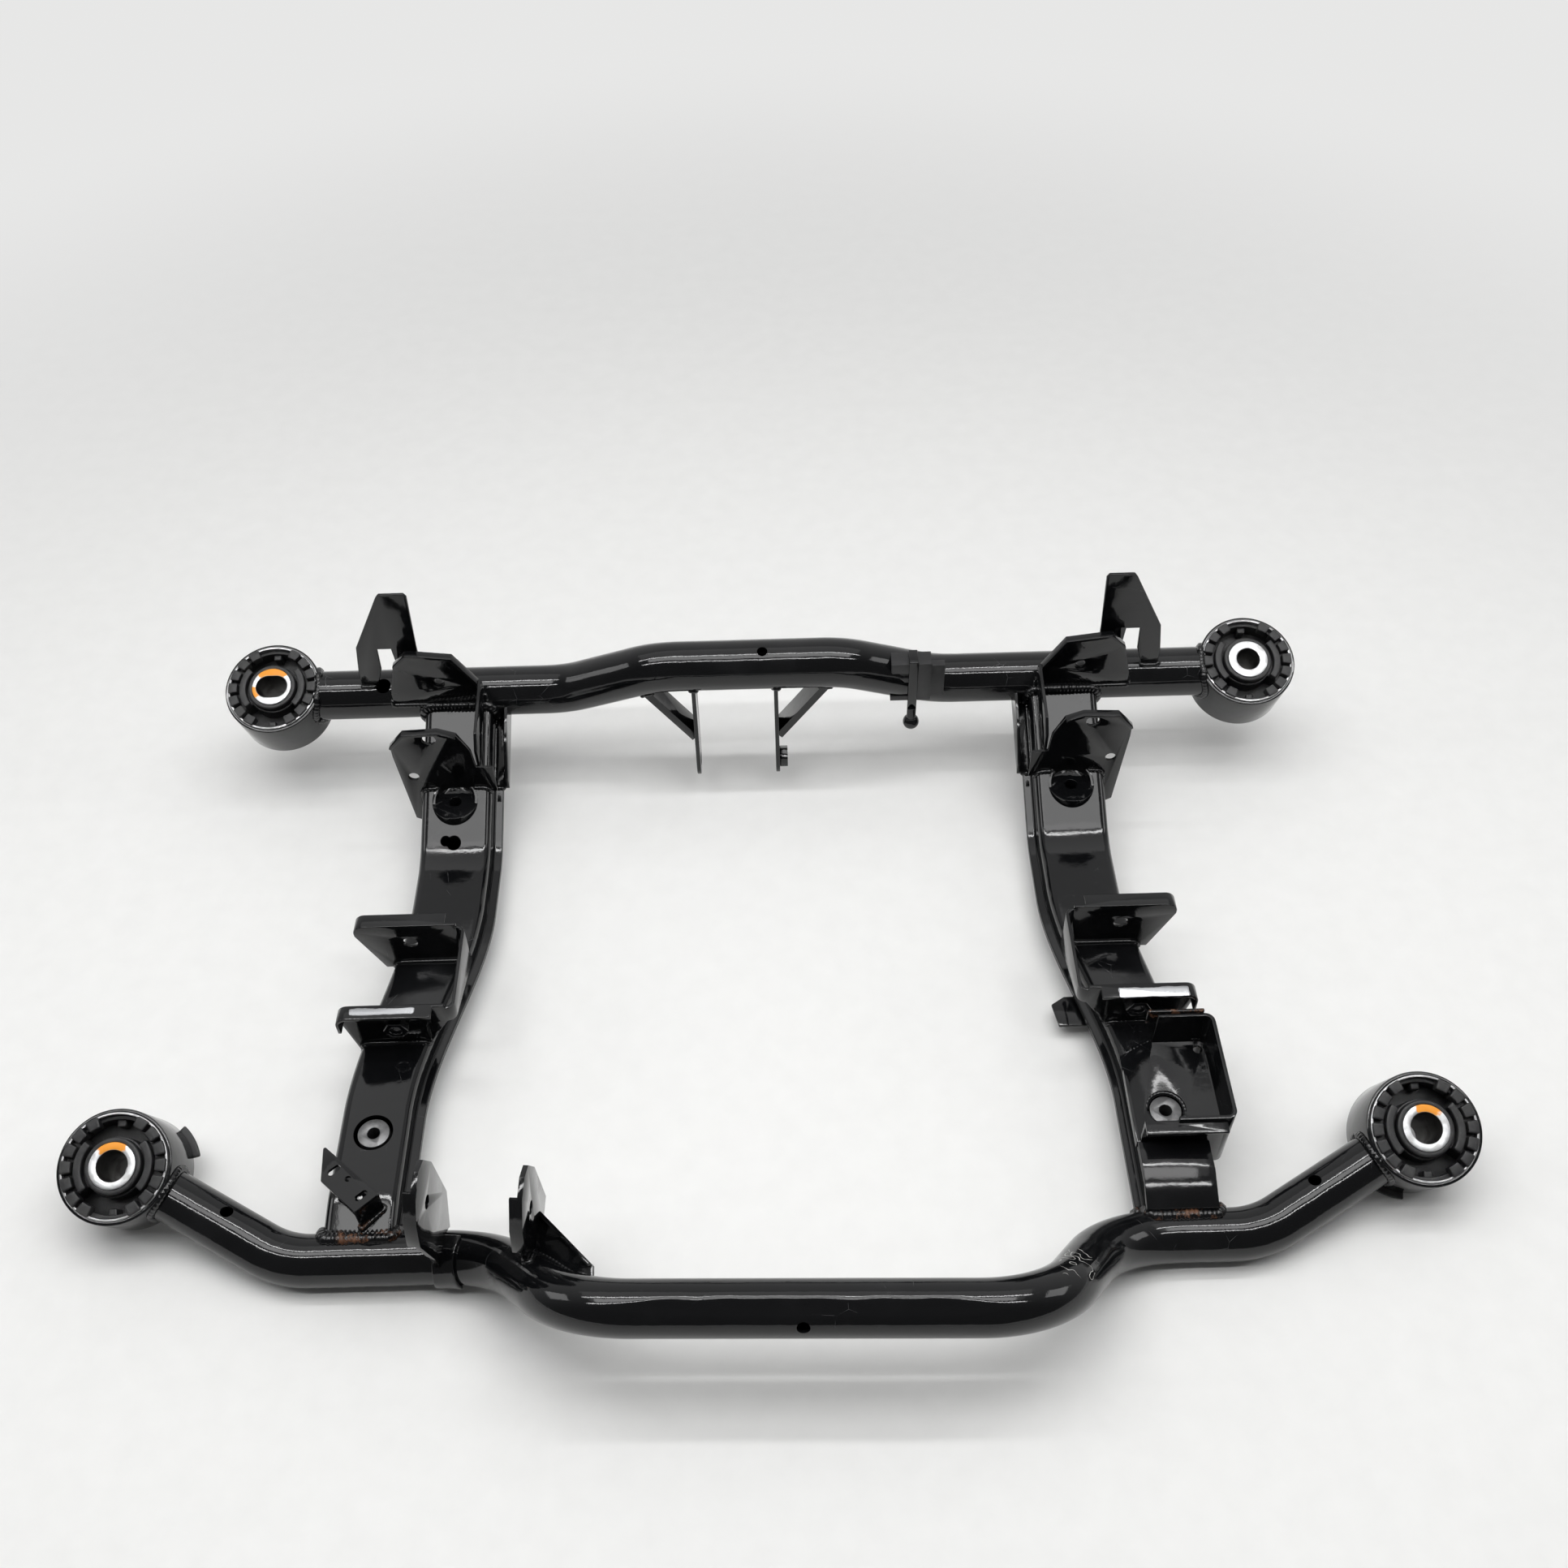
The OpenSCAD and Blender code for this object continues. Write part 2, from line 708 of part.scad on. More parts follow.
// The folded rim of an ear: along its top from x0, round the corner and down its outer edge
module rim_2d(x0, x1, top, r, drop) {
    translate([x0, top - sheet]) square([x1 - r - x0, sheet]);
    corner_2d([x1 - r, top - r], r, r - sheet);
    translate([x1 - sheet, top - r - drop]) square([sheet, drop]);
}

// An ear's outline under that rim, closed by the points of its lower edge
module ear_2d(x0, x1, top, r, drop, lower) {
    difference() {
        polygon(concat([[x0, top], [x1, top], [x1, top - r - drop]], lower));
        translate([x1 - r, top - r]) difference() {
            square(2 * r);
            circle(r = r, $fn = fine);
        }
    }
}

// Points given as shares of a size, from a corner
function spread(shares, from, size) = [for (s = shares) from + [s.x * size.x, s.y * size.y]];

// Link brackets: a pressing folded in a U that is open outwards, on top of the member
link_far_y = link_near_y + sheet + link_gap;
link_fold_r = 10;
link_rim_x = 284;
link_bend_r = 8;
link_wall_drop = 4;
link_wall_top = link_top_z - link_wall_drop;
link_near_foot_z = 32;
link_far_foot_z = 40;
link_small_r = 3.8;
link_small_x = 25.5;
link_wall_low_near = 78;
link_wall_low_far = 52;

module link_ear(y, foot_z, foot_x, rim_drop) {
    wall_across(y, sheet) difference() {
        ear_2d(link_wall_x + link_bend_r, link_reach_x, link_top_z, link_fold_r, rim_drop,
               [[foot_x, foot_z],
                [member_in(y) + press_r, foot_z],
                [link_wall_x + link_bend_r, link_wall_low_near]]);
        level_cut(y, sheet);
    }
}

module link_bracket(side) {
    inner = link_bend_r - sheet;
    color(paint) mirrored(side) difference() {
        union() {
            link_ear(link_near_y, link_near_foot_z, link_reach_x - link_fold_r, fold_w);
            link_ear(link_far_y, link_far_foot_z, link_reach_x - 2 * link_fold_r, sheet);
            wall_across(link_near_y - fold_w, fold_w)
                rim_2d(link_rim_x, link_reach_x, link_top_z, link_fold_r, fold_w);
            wall_across(link_far_y + sheet, fold_w)
                rim_2d(link_rim_x, link_reach_x, link_top_z, link_fold_r, sheet);
            wall_along(link_wall_x, sheet)
                polygon([[link_near_y + link_bend_r, link_wall_low_near],
                         [link_near_y + link_bend_r, link_wall_top],
                         [link_far_y + sheet - link_bend_r, link_wall_top],
                         [link_far_y + sheet - link_bend_r, link_wall_low_far]]);
            for (end = [[link_near_y + link_bend_r, 180, link_wall_low_near],
                        [link_far_y + sheet - link_bend_r, 90, link_wall_low_far]])
                translate([link_wall_x + link_bend_r, end.x, end.z])
                    linear_extrude(link_wall_top - end.z)
                        rotate(end.y) corner_2d([0, 0], link_bend_r, inner);
        }
        bore_along_y([link_bolt_x, link_near_y, link_bolt_z], bolt_hole_r);
        bore_along_y([link_bolt_x + link_small_x, link_near_y - room, link_bolt_z], link_small_r);
    }
}

bolt_nut_h = 8;
bolt_nut_r = 11;
bolt_thread_r = 5.1;

module link_bolt_nuts() {
    color(paint) for (side = [-1, 1])
        mirrored(side)
            translate([link_bolt_x, link_near_y - bolt_nut_h, link_bolt_z])
                rotate([90, 0, 0]) weld_nut(bolt_nut_r, bolt_nut_h, bolt_thread_r);
}

// Arm brackets: a near ear on the member, and a far ear on the tube with the wall between them
arm_wall_x = 270;
arm_near_x0 = 258;
arm_near_x1 = 350;
arm_near_top = 159;
arm_far_x1 = 360;
arm_far_top = 188;
arm_fold = 5;
arm_wall_top = 150;
arm_low_hole_x = 335;
arm_low_hole_z = 96;
arm_low_hole_r = 5;
arm_wall_nick = 12;
arm_near_foot = member_top(arm_near_y) - 2 * sheet;
arm_far_foot = far_run_z;
arm_near_shares = [[0, 0], [0, 0.38], [0.17, 0.4], [0.19, 0.66], [0.3, 0.92], [0.48, 1],
                   [0.84, 0.98], [1, 0.78], [1, 0.6], [0.93, -0.42], [0.8, -0.5], [0.8, 0]];
arm_near_fold = [4, 5, 6, 7];
arm_far_shares = [[0, 0], [0, 0.42], [0.26, 0.92], [0.74, 1], [0.9, 0.8], [1, 0.3], [1, 0]];
arm_far_fold = [1, 2, 3, 4];

// A band of sheet inside the line through the points p, its corners mitred
function side_of(a, b) = unit([b.y - a.y, a.x - b.x]);
function mitre(p, i, t) = let (
    last = len(p) - 1,
    n1 = i > 0 ? side_of(p[i - 1], p[i]) : side_of(p[0], p[1]),
    n2 = i < last ? side_of(p[i], p[i + 1]) : n1)
    p[i] + (n1 + n2) * t / (1 + n1 * n2);
function band_of(p, t) = concat(p, [for (i = [len(p) - 1 : -1 : 0]) mitre(p, i, t)]);

module arm_bracket_front(side) {
    outline = spread(arm_near_shares, [arm_near_x0, arm_near_foot],
                     [arm_near_x1 - arm_near_x0, arm_near_top - arm_near_foot]);
    color(paint) mirrored(side) difference() {
        union() {
            wall_across(arm_near_y, sheet) polygon(outline);
            wall_across(arm_near_y - arm_fold, arm_fold)
                polygon(band_of([for (i = arm_near_fold) outline[i]], sheet));
        }
        slope_block();
        bore_along_y([arm_bolt_x, arm_near_y - room / 2, arm_bolt_z], bolt_hole_r);
        bore_along_y([arm_low_hole_x, arm_near_y - room / 2, arm_low_hole_z], arm_low_hole_r);
    }
}

module arm_bracket_rear(side) {
    outline = spread(arm_far_shares, [arm_wall_x, arm_far_foot],
                     [arm_far_x1 - arm_wall_x, arm_far_top - arm_far_foot]);
    wall_from = arm_near_y + sheet;
    color(paint) mirrored(side) difference() {
        union() {
            wall_across(arm_far_y, sheet) polygon(outline);
            wall_across(arm_far_y - arm_fold, arm_fold)
                polygon(band_of([for (i = arm_far_fold) outline[i]], sheet));
            wall_along(arm_wall_x, sheet)
                polygon([[wall_from, member_top(wall_from) - sheet],
                         [wall_from, arm_wall_top - 2 * arm_wall_nick],
                         [wall_from + arm_wall_nick, arm_wall_top - arm_wall_nick],
                         [arm_far_y, arm_wall_top],
                         [arm_far_y, member_top(arm_far_y) - sheet]]);
        }
        slope_block();
        far_level();
        bore_along_y([arm_bolt_x, arm_far_y, arm_bolt_z], bolt_hole_r);
    }
}

// The brace stands on the seam flange and its foot meets the member's inner wall
brace_x = 250;
brace_near_y = 415;
brace_far_y = 486;
brace_h = 26;

module arm_brace(side) {
    near_z = member_foot(brace_near_y) + flange_z + sheet;
    far_z = member_foot(brace_far_y) + flange_z + sheet;
    color(paint) mirrored(side) difference() {
        union() {
            wall_along(brace_x, sheet)
                polygon([[brace_near_y, near_z], [brace_near_y, near_z + brace_h / 2],
                         [brace_near_y + brace_h, near_z + 1.5 * brace_h],
                         [brace_far_y, far_z + brace_h], [brace_far_y, far_z]]);
            wall_along(brace_x, member_far_in - brace_x + cut)
                polygon([[brace_near_y, near_z - cut], [brace_near_y, near_z + sheet],
                         [brace_far_y, far_z + sheet], [brace_far_y, far_z - cut]]);
        }
        slope_block();
        far_level();
    }
}

module arm_bolt_nuts() {
    color(paint) for (side = [-1, 1])
        mirrored(side)
            translate([arm_bolt_x, arm_far_y + sheet, arm_bolt_z])
                rotate([90, 0, 0]) weld_nut(bolt_nut_r, bolt_nut_h, bolt_thread_r);
}

// Uprights: tapered plates on top of the far tube, each with a window between its two legs
upright_in_x = 328;
upright_w = 62;
upright_foot_z = far_run_z + far_tube_r / 2;
upright_shares = [[0, 0], [0, 0.48], [-0.04, 0.97], [0, 1], [0.38, 1], [0.43, 0.97],
                  [0.93, 0.48], [1, 0.22], [1, 0], [0.8, 0], [0.63, 0.25], [0.61, 0.46],
                  [0.4, 0.46], [0.36, 0.2], [0.36, 0]];
upright_hole_r = 2.6;
upright_high_share = [0.22, 0.93];
upright_low_share = [0.6, 0.55];
upright_slot = 3;

module upright(side) {
    from = [upright_in_x, upright_foot_z];
    size = [upright_w, upright_top_z - upright_foot_z];
    color(paint) mirrored(side) difference() {
        wall_across(upright_y, sheet) polygon(spread(upright_shares, from, size));
        far_level();
        for (share = [upright_high_share, upright_low_share])
            for (s = [-1, 1]) {
                at = spread([share], from, size)[0];
                bore_along_y([at.x + s * upright_slot, upright_y - room, at.y], upright_hole_r);
            }
    }
}

// A pair of ears that faces along X, on a tube, with a bolt hole near the free end
ear_edge = 16;
mid_ear_hole_r = 6.5;
mid_ear_gap_half = ear_gap / 2;
mid_top_z = far_mid_z;
mid_reach_y = 30;

// The point where a line from p touches a circle, on the side s
function touch(p, c, r, s) = let (d = p - c, a = atan2(d.y, d.x) + s * acos(r / norm(d)))
    c + r * [cos(a), sin(a)];

// An ear with a round end at c, tapering from the edge between the points a and b
module round_ear_2d(a, b, c, r) {
    translate(c) circle(r = r, $fn = fine);
    polygon([a, touch(a, c, r, 1), c, touch(b, c, r, -1), b]);
}

module middle_ear(s) {
    x = -mid_pair_x + (s < 0 ? -mid_ear_gap_half - ear_sheet : mid_ear_gap_half);
    color(paint) difference() {
        wall_along(x, ear_sheet)
            round_ear_2d([far_mid_y - mid_reach_y / 2, mid_top_z],
                         [far_mid_y + mid_reach_y / 2, mid_top_z],
                         [mid_bolt_y, mid_bolt_z], ear_edge);
        far_rod();
        bore_along_x([x, mid_bolt_y, mid_bolt_z], mid_ear_hole_r);
    }
}

// A gusset strip from the tube's bend down to the ear's outer face
mid_gusset_t = 24;
mid_gusset_w = 62;
mid_gusset_h = 88;

module middle_gusset(s) {
    ear_face = -mid_pair_x + s * (mid_ear_gap_half + ear_sheet);
    w = mid_gusset_w;
    h = mid_gusset_h;
    color(paint) difference() {
        translate([0, far_mid_y - mid_gusset_t / 2, 0])
            wall_across(0, mid_gusset_t)
                polygon([[ear_face, mid_top_z - h],
                         [ear_face + s * sheet, mid_top_z - h - sheet],
                         [ear_face + s * w, mid_top_z - 2 * sheet],
                         [ear_face + s * w, mid_top_z + sheet],
                         [ear_face + s * (w - sheet), mid_top_z + sheet],
                         [ear_face, mid_top_z - h + 2 * sheet]]);
        far_rod();
    }
}

module middle_nut() {
    x = -mid_pair_x + mid_ear_gap_half + ear_sheet;
    color(paint) translate([x, mid_bolt_y, mid_bolt_z]) rotate([0, -90, 0])
        weld_nut(bolt_nut_r, bolt_nut_h, bolt_thread_r);
}

// Line clip: a moulded block and tab held on the far tube by a strap, with a ball stud below
clip_x = 127;
clip_w = 39;
clip_foot_z = 112;
clip_h = 48;
clip_t = 12;
clip_slots = 3;
clip_tab_w = 13;
clip_tab_t = 4;
strap_x = 144;
strap_w = 9;
stud_r = 4.5;
ball_r = 8;
stud_drop = 20;
clip_y = far_run_y - far_tube_r;

module clip_clamp() {
    step = clip_h / (clip_slots + 1);
    color(black_rubber) difference() {
        union() {
            block([clip_x, clip_y - clip_t / 2, clip_foot_z],
                  [clip_x + clip_w, clip_y + clip_t, clip_foot_z + clip_h]);
            block([clip_x + clip_w, clip_y - clip_tab_t, clip_foot_z + clip_tab_t],
                  [clip_x + clip_w + clip_tab_w, clip_y + clip_tab_t, clip_foot_z + clip_h - clip_tab_t]);
        }
        far_rod();
        for (i = [1 : clip_slots])
            block([clip_x - cut, clip_y - clip_t / 2 - cut, clip_foot_z + i * step - step / 2],
                  [strap_x, clip_y - clip_tab_t, clip_foot_z + i * step]);
        strap_slot();
    }
}

module strap_slot() {
    block([strap_x, clip_y - clip_t, clip_foot_z - sheet],
          [strap_x + strap_w, clip_y - clip_tab_t, clip_foot_z + clip_h + room]);
}

module clip_strap() {
    color(paint) difference() {
        block([strap_x, clip_y - clip_tab_t - sheet, clip_foot_z - stud_drop / 2],
              [strap_x + strap_w, clip_y - clip_tab_t, clip_foot_z + clip_h + sheet]);
        far_rod();
    }
    color(paint) difference() {
        block([strap_x, clip_y - clip_tab_t, clip_foot_z + clip_h],
              [strap_x + strap_w, clip_y + clip_t, clip_foot_z + clip_h + sheet]);
        far_rod();
    }
}

module ball_stud() {
    top = clip_foot_z - stud_drop / 2;
    color(paint) translate([strap_x + strap_w / 2, clip_y - clip_tab_t - sheet / 2, top - stud_drop])
        union() {
            cylinder(h = stud_drop, r = stud_r, $fn = fine);
            sphere(r = ball_r, $fn = fine);
        }
}

// The near pair of ears on the near tube: tall plates with a folded front edge, turned a little
// about the vertical round the bolt hole of the left one
near_ear_turn = 5;
near_ear_hole_r = 5.5;
near_ear_half = ear_gap / 2;
near_ear_low = 60;
near_ear_top = 156;
near_ear_reach = 36;
near_ear_fold = 6;
near_ear_shares = [[-0.9, 0.48], [-0.75, 0.72], [-0.32, 0.94], [0.1, 1], [0.45, 0.95], [0.75, 0.72],
                   [0.94, 0.1]];
near_ear_fold_shares = [0, 1, 2];
left_foot_shares = [[0.4, -0.36], [-0.4, -0.36], [-0.55, 0]];
right_foot_shares = [[-0.5, -0.1], [-0.8, 0.16]];

module at_near_bolt() {
    translate([-near_pair_x - near_ear_half, -near_bolt_y, 0]) rotate(-near_ear_turn) children();
}

module near_ear(s) {
    x = s < 0 ? -ear_sheet : ear_gap;
    from = [0, near_ear_low];
    size = [near_ear_reach, near_ear_top - near_ear_low];
    feet = s < 0 ? left_foot_shares : right_foot_shares;
    outline = spread(concat(near_ear_shares, feet), from, size);
    color(paint) difference() {
        at_near_bolt() difference() {
            union() {
                wall_along(x, ear_sheet) polygon(outline);
                wall_along(x - near_ear_fold, near_ear_fold)
                    polygon(band_of([for (i = near_ear_fold_shares) outline[i]], sheet));
            }
            bore_along_x([x, 0, near_bolt_z], near_ear_hole_r);
        }
        near_rod();
        if (s < 0) band_ring() circle(r = near_tube_r + sheet, $fn = fine);
    }
}

near_gusset_foot_z = 72;
near_gusset_lean = 20;
near_gusset_w = 56;
near_gusset_depth = 92;
near_gusset_edge = 8;
near_gusset_shares = [[0, 1], [0.96, 0.45], [1, 0.28], [0.58, 0], [-0.12, 0.58]];

// A slanting plate from the right ear over the bend to the raised middle of the tube, with a
// turned-up strip along its far edge
module front_gusset() {
    corners = spread(near_gusset_shares, [0, 0], [near_gusset_w, near_gusset_depth]);
    ear_x = ear_gap + ear_sheet;
    color(paint) difference() {
        at_near_bolt() difference() {
            translate([ear_x, near_ear_reach / 2 - near_gusset_depth, near_gusset_foot_z])
                rotate([0, -near_gusset_lean, 0]) {
                    linear_extrude(sheet) polygon(corners);
                    linear_extrude(near_gusset_edge) polygon(band_of([corners[0], corners[1]], sheet));
                }
            block([ear_x - room, -room, near_gusset_foot_z - room],
                  [ear_x, room, near_gusset_foot_z + room]);
        }
        near_rod();
    }
}

module front_ear_nut() {
    color(paint) at_near_bolt() translate([-ear_sheet, 0, near_bolt_z]) rotate([0, 90, 0])
        weld_nut(bolt_nut_r, bolt_nut_h, bolt_thread_r);
}

band_turn = 17;
band_half = 66;
band_lean = 40;

// A shape in the near tube's section, carried round the first part of its bend under the left ear
module band_ring() {
    a = near_path[1];
    b = near_path[2];
    c = near_path[3];
    u = unit(a - b);
    centre = b + unit(u + unit(c - b)) * tube_bend_r / cos(bend_turn(a, b, c) / 2);
    e1 = unit(b + u * bend_tangent(a, b, c) - centre);
    e3 = cross(e1, -u);
    multmatrix([[e1.x, -u.x, e3.x, centre.x],
                [e1.y, -u.y, e3.y, centre.y],
                [e1.z, -u.z, e3.z, centre.z]])
        rotate_extrude(angle = band_turn, $fn = fine)
            translate([tube_bend_r, 0]) children();
}

// The doubling sleeve over the top and front of the near tube, which the left ear stands on
module tube_band() {
    low = [-near_pair_x - near_ear_half - near_tube_r, -near_run_y - 2 * near_tube_r, near_tube_r];
    color(paint) difference() {
        band_ring() sector(near_tube_r, near_tube_r + sheet, 180, band_half);
        translate(low) rotate([0, band_lean, 0]) translate([-room, 0, -room])
            cube([room, near_tube_r * 2, room]);
    }
}

// Right box bracket: an open tray on the member, between the near tube and the link bracket
box_x0 = 300;
box_x1 = 377;
box_y0 = 6;
box_y1 = 107;
box_top = 90;
box_bend_r = 8;
box_lip = 9;
box_lip_drop = 6;
box_hole_x = 368;
box_hole_y = 96;
box_hole_r = 4;
box_leg = 26;
box_cut_x = 30;
box_cut_y = 16;
box_ledge = 8;

// The tray's outline: its inner far corner is cut off, and its outer corners are rounded
module box_plan(d) {
    r = box_bend_r - d;
    cx = box_x1 - box_bend_r;
    polygon([[box_x0, box_y0 + d], [cx, box_y0 + d], [cx, box_y1 - d],
             [box_x0 + box_cut_x, box_y1 - d], [box_x0, box_y1 - box_cut_y]]);
    translate([cx - cut, box_y0 + box_bend_r]) square([r + cut, box_y1 - box_y0 - 2 * box_bend_r]);
    for (y = [box_y0 + box_bend_r, box_y1 - box_bend_r])
        translate([cx, y]) circle(r = r, $fn = fine);
}

// The tray's wall in plan, from the distance x outwards
module box_wall_2d(x) {
    difference() {
        box_plan(0);
        box_plan(sheet);
        translate([box_x0 - cut, box_y0 - cut])
            square([x - box_x0 + cut, box_y1 - box_y0 + 2 * cut]);
    }
}

module right_box_bracket() {
    color(paint) difference() {
        union() {
            translate([0, 0, member_h]) linear_extrude(sheet) box_plan(0);
            translate([0, 0, member_h]) linear_extrude(box_top - member_h)
                box_wall_2d(box_x0 + box_cut_x);
            translate([0, 0, member_h - box_leg]) linear_extrude(box_leg)
                box_wall_2d(member_near_out);
            block([box_x0, box_y0, member_h], [box_x0 + sheet, box_y1 - 2 * box_cut_y, member_h + box_ledge]);
            block([box_x0 + sheet, box_y0 - box_lip, box_top - box_lip_drop - sheet],
                  [box_x1 - box_bend_r, box_y0, box_top - box_lip_drop]);
            block([box_x0 + sheet, box_y0, member_h],
                  [box_x1 - box_bend_r, box_y0 + sheet, box_top - box_lip_drop]);
        }
        translate([collar_x, collar_y, member_h - cut])
            cylinder(h = sheet + 2 * cut, r = window_r, $fn = fine);
        translate([box_hole_x, box_hole_y, member_h - room / 2])
            cylinder(h = room, r = box_hole_r, $fn = fine);
    }
}

strip_h = 14;

module right_box_strip() {
    color(paint) block([box_x0 + box_cut_x - box_lip, box_y1, box_top - strip_h],
                       [box_x1 - box_bend_r, box_y1 + sheet, box_top + sheet]);
}

saddle_x0 = 300;
saddle_x1 = 358;
saddle_rise = 12;
saddle_gap = 2;

// The saddle bridges the gap between the near tube and the tray's front wall
module right_saddle() {
    low = member_h;
    high = member_h + saddle_rise;
    from = -near_run_y + near_tube_r / 2;
    to = box_y0 - saddle_gap;
    bend = (from + to) / 2;
    color(paint) difference() {
        wall_along(saddle_x0, saddle_x1 - saddle_x0) difference() {
            polygon([[from, low - 2 * sheet], [from, low], [bend, high], [to, high],
                     [to, high - sheet], [bend, high - sheet], [from + 2 * sheet, low - 2 * sheet]]);
            near_roof_2d();
        }
        near_rod();
    }
}

tab_y = 157;
tab_w = 23;
tab_skew = 8;
tab_reach = 20;
tab_z = 18;

module right_tab() {
    near_y = tab_y - tab_w / 2;
    far_y = tab_y + tab_w / 2;
    tip_x = wall_in(tab_y) - flange_w - tab_reach;
    color(paint) translate([0, 0, tab_z - sheet]) linear_extrude(sheet)
        polygon([[tip_x, near_y], [wall_in(near_y), near_y],
                 [wall_in(far_y + tab_skew), far_y + tab_skew], [tip_x + tab_skew, far_y + tab_skew],
                 [tip_x - tab_skew / 2, far_y]]);
}

slotted_z = 70;
slotted_x = -366;
slotted_y = -44;
slotted_w = 54;
slotted_d = 61;
slotted_shares = [[0.04, 1], [0.1, 0.47], [0.69, 0], [1, 0.25]];
slotted_slot_r = 4;
slotted_hole_r = 3;
slotted_slot_half = 6;
slotted_turn = 35;
slotted_slots = [[0.3, 0.66], [0.76, 0.27]];
slotted_hole = [0.5, 0.5];

// A plate with two slots and a hole, held over the left member by a leg on the near tube
module left_slotted_bracket() {
    from = [slotted_x, slotted_y];
    size = [slotted_w, slotted_d];
    corners = spread(slotted_shares, from, size);
    slots = spread(slotted_slots, from, size);
    hole = spread([slotted_hole], from, size)[0];
    near_edge = [corners[2], corners[3]];
    foot_z = member_h - 2 * sheet;
    color(paint) difference() {
        union() {
            translate([0, 0, slotted_z - sheet]) linear_extrude(sheet) polygon(corners);
            translate([0, 0, foot_z]) linear_extrude(slotted_z - foot_z)
                polygon(band_of([near_edge[1], near_edge[0]], sheet));
        }
        wall_along(slotted_x - slotted_w, 2 * room) near_roof_2d();
        near_rod();
        for (at = slots)
            translate([at.x, at.y, slotted_z]) rotate(slotted_turn)
                for (s = [-1, 1])
                    translate([s * slotted_slot_half / 2, 0, -2 * sheet])
                        cylinder(h = 4 * sheet, r = slotted_slot_r, $fn = fine);
        translate([hole.x, hole.y, slotted_z - 2 * sheet])
            cylinder(h = 4 * sheet, r = slotted_hole_r, $fn = fine);
    }
}

placed() front_tube();
placed() rear_tube();
placed() tube_band();
placed() member_upper(-1);  // left_member_upper
placed() member_lower(-1);  // left_member_lower
placed() member_upper(1);  // right_member_upper
placed() member_lower(1);  // right_member_lower
placed() seat_collar(-1);  // left_seat_collar
placed() seat_collar(1);  // right_seat_collar
placed() seat_boss(-1);  // left_seat_boss
placed() seat_boss(1);  // right_seat_boss
placed() bush_housing(0);  // front_left_bush_housing
placed() bush_housing(1);  // front_right_bush_housing
placed() bush_housing(2);  // rear_left_bush_housing
placed() bush_housing(3);  // rear_right_bush_housing
placed() bush_shell(0);  // front_left_bush_shell
placed() bush_shell(1);  // front_right_bush_shell
placed() bush_shell(2);  // rear_left_bush_shell
placed() bush_shell(3);  // rear_right_bush_shell
placed() bush_rubber(0);  // front_left_bush_rubber
placed() bush_rubber(1);  // front_right_bush_rubber
placed() bush_rubber(2);  // rear_left_bush_rubber
placed() bush_rubber(3);  // rear_right_bush_rubber
placed() bush_core(0);  // front_left_bush_core
placed() bush_core(1);  // front_right_bush_core
placed() bush_core(2);  // rear_left_bush_core
placed() bush_core(3);  // rear_right_bush_core
placed() link_bracket(-1);  // left_link_bracket
placed() link_bracket(1);  // right_link_bracket
placed() arm_bracket_rear(-1);  // left_arm_bracket_rear
placed() arm_bracket_rear(1);  // right_arm_bracket_rear
placed() arm_bracket_front(-1);  // left_arm_bracket_front
placed() arm_bracket_front(1);  // right_arm_bracket_front
placed() arm_brace(-1);  // left_arm_brace
placed() arm_brace(1);  // right_arm_brace
placed() arm_bolt_nuts();
placed() link_bolt_nuts();
placed() upright(-1);  // left_upright
placed() upright(1);  // right_upright
placed() middle_ear(-1);  // middle_ear_left
placed() middle_ear(1);  // middle_ear_right
placed() middle_gusset(-1);  // middle_gusset_left
placed() middle_gusset(1);  // middle_gusset_right
placed() middle_nut();
placed() clip_clamp();
placed() clip_strap();
placed() ball_stud();
placed() near_ear(-1);  // front_ear_left
placed() near_ear(1);  // front_ear_right
placed() front_gusset();
placed() front_ear_nut();
placed() right_box_bracket();
placed() right_box_strip();
placed() right_saddle();
placed() right_tab();
placed() left_slotted_bracket();
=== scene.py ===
# %% [markdown]
# # A rear axle subframe, dressed for its picture
#
# The packed CAD part is the fixed frame of this scene. Round it this file builds what the eye
# looks for on a real subframe: drawn tubes with smooth bends, pressed side members, bushes of
# rubber bonded to steel, sheet brackets with soft folded edges, weld beads, and black dip paint
# with its orange peel, scratches, dust and rust.

# %% Frame
import math

import bmesh
import bpy
import numpy as np
from mathutils import Matrix
from mathutils.bvhtree import BVHTree


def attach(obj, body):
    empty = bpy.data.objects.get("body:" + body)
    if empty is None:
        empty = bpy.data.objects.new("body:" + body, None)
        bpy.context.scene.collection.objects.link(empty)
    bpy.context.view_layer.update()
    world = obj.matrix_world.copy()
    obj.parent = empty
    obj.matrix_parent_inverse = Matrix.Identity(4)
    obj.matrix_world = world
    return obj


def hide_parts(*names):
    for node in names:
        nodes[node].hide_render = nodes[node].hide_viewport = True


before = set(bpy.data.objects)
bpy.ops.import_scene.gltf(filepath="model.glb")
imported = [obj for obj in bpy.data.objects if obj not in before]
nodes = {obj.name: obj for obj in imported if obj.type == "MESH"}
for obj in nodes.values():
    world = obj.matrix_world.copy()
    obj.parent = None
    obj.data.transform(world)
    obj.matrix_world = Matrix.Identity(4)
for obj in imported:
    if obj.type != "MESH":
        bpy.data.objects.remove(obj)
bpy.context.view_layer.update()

# %% [markdown]
# ## Lengths
#
# The drawing of the part counts in millimetres from the line through the two near bushes. Blender
# counts in metres from the middle of the frame. Each object could be moved and scaled instead, but
# a finished piece has to sit at the origin, so every point goes through one small function.

# %% Lengths
MM = 0.001
DEPTH_MIDDLE = 189.2


def to_frame(points):
    """A point of the drawing, moved back by the depth of the middle and turned into metres."""
    return (np.asarray(points, float) - [0, DEPTH_MIDDLE, 0]) * MM


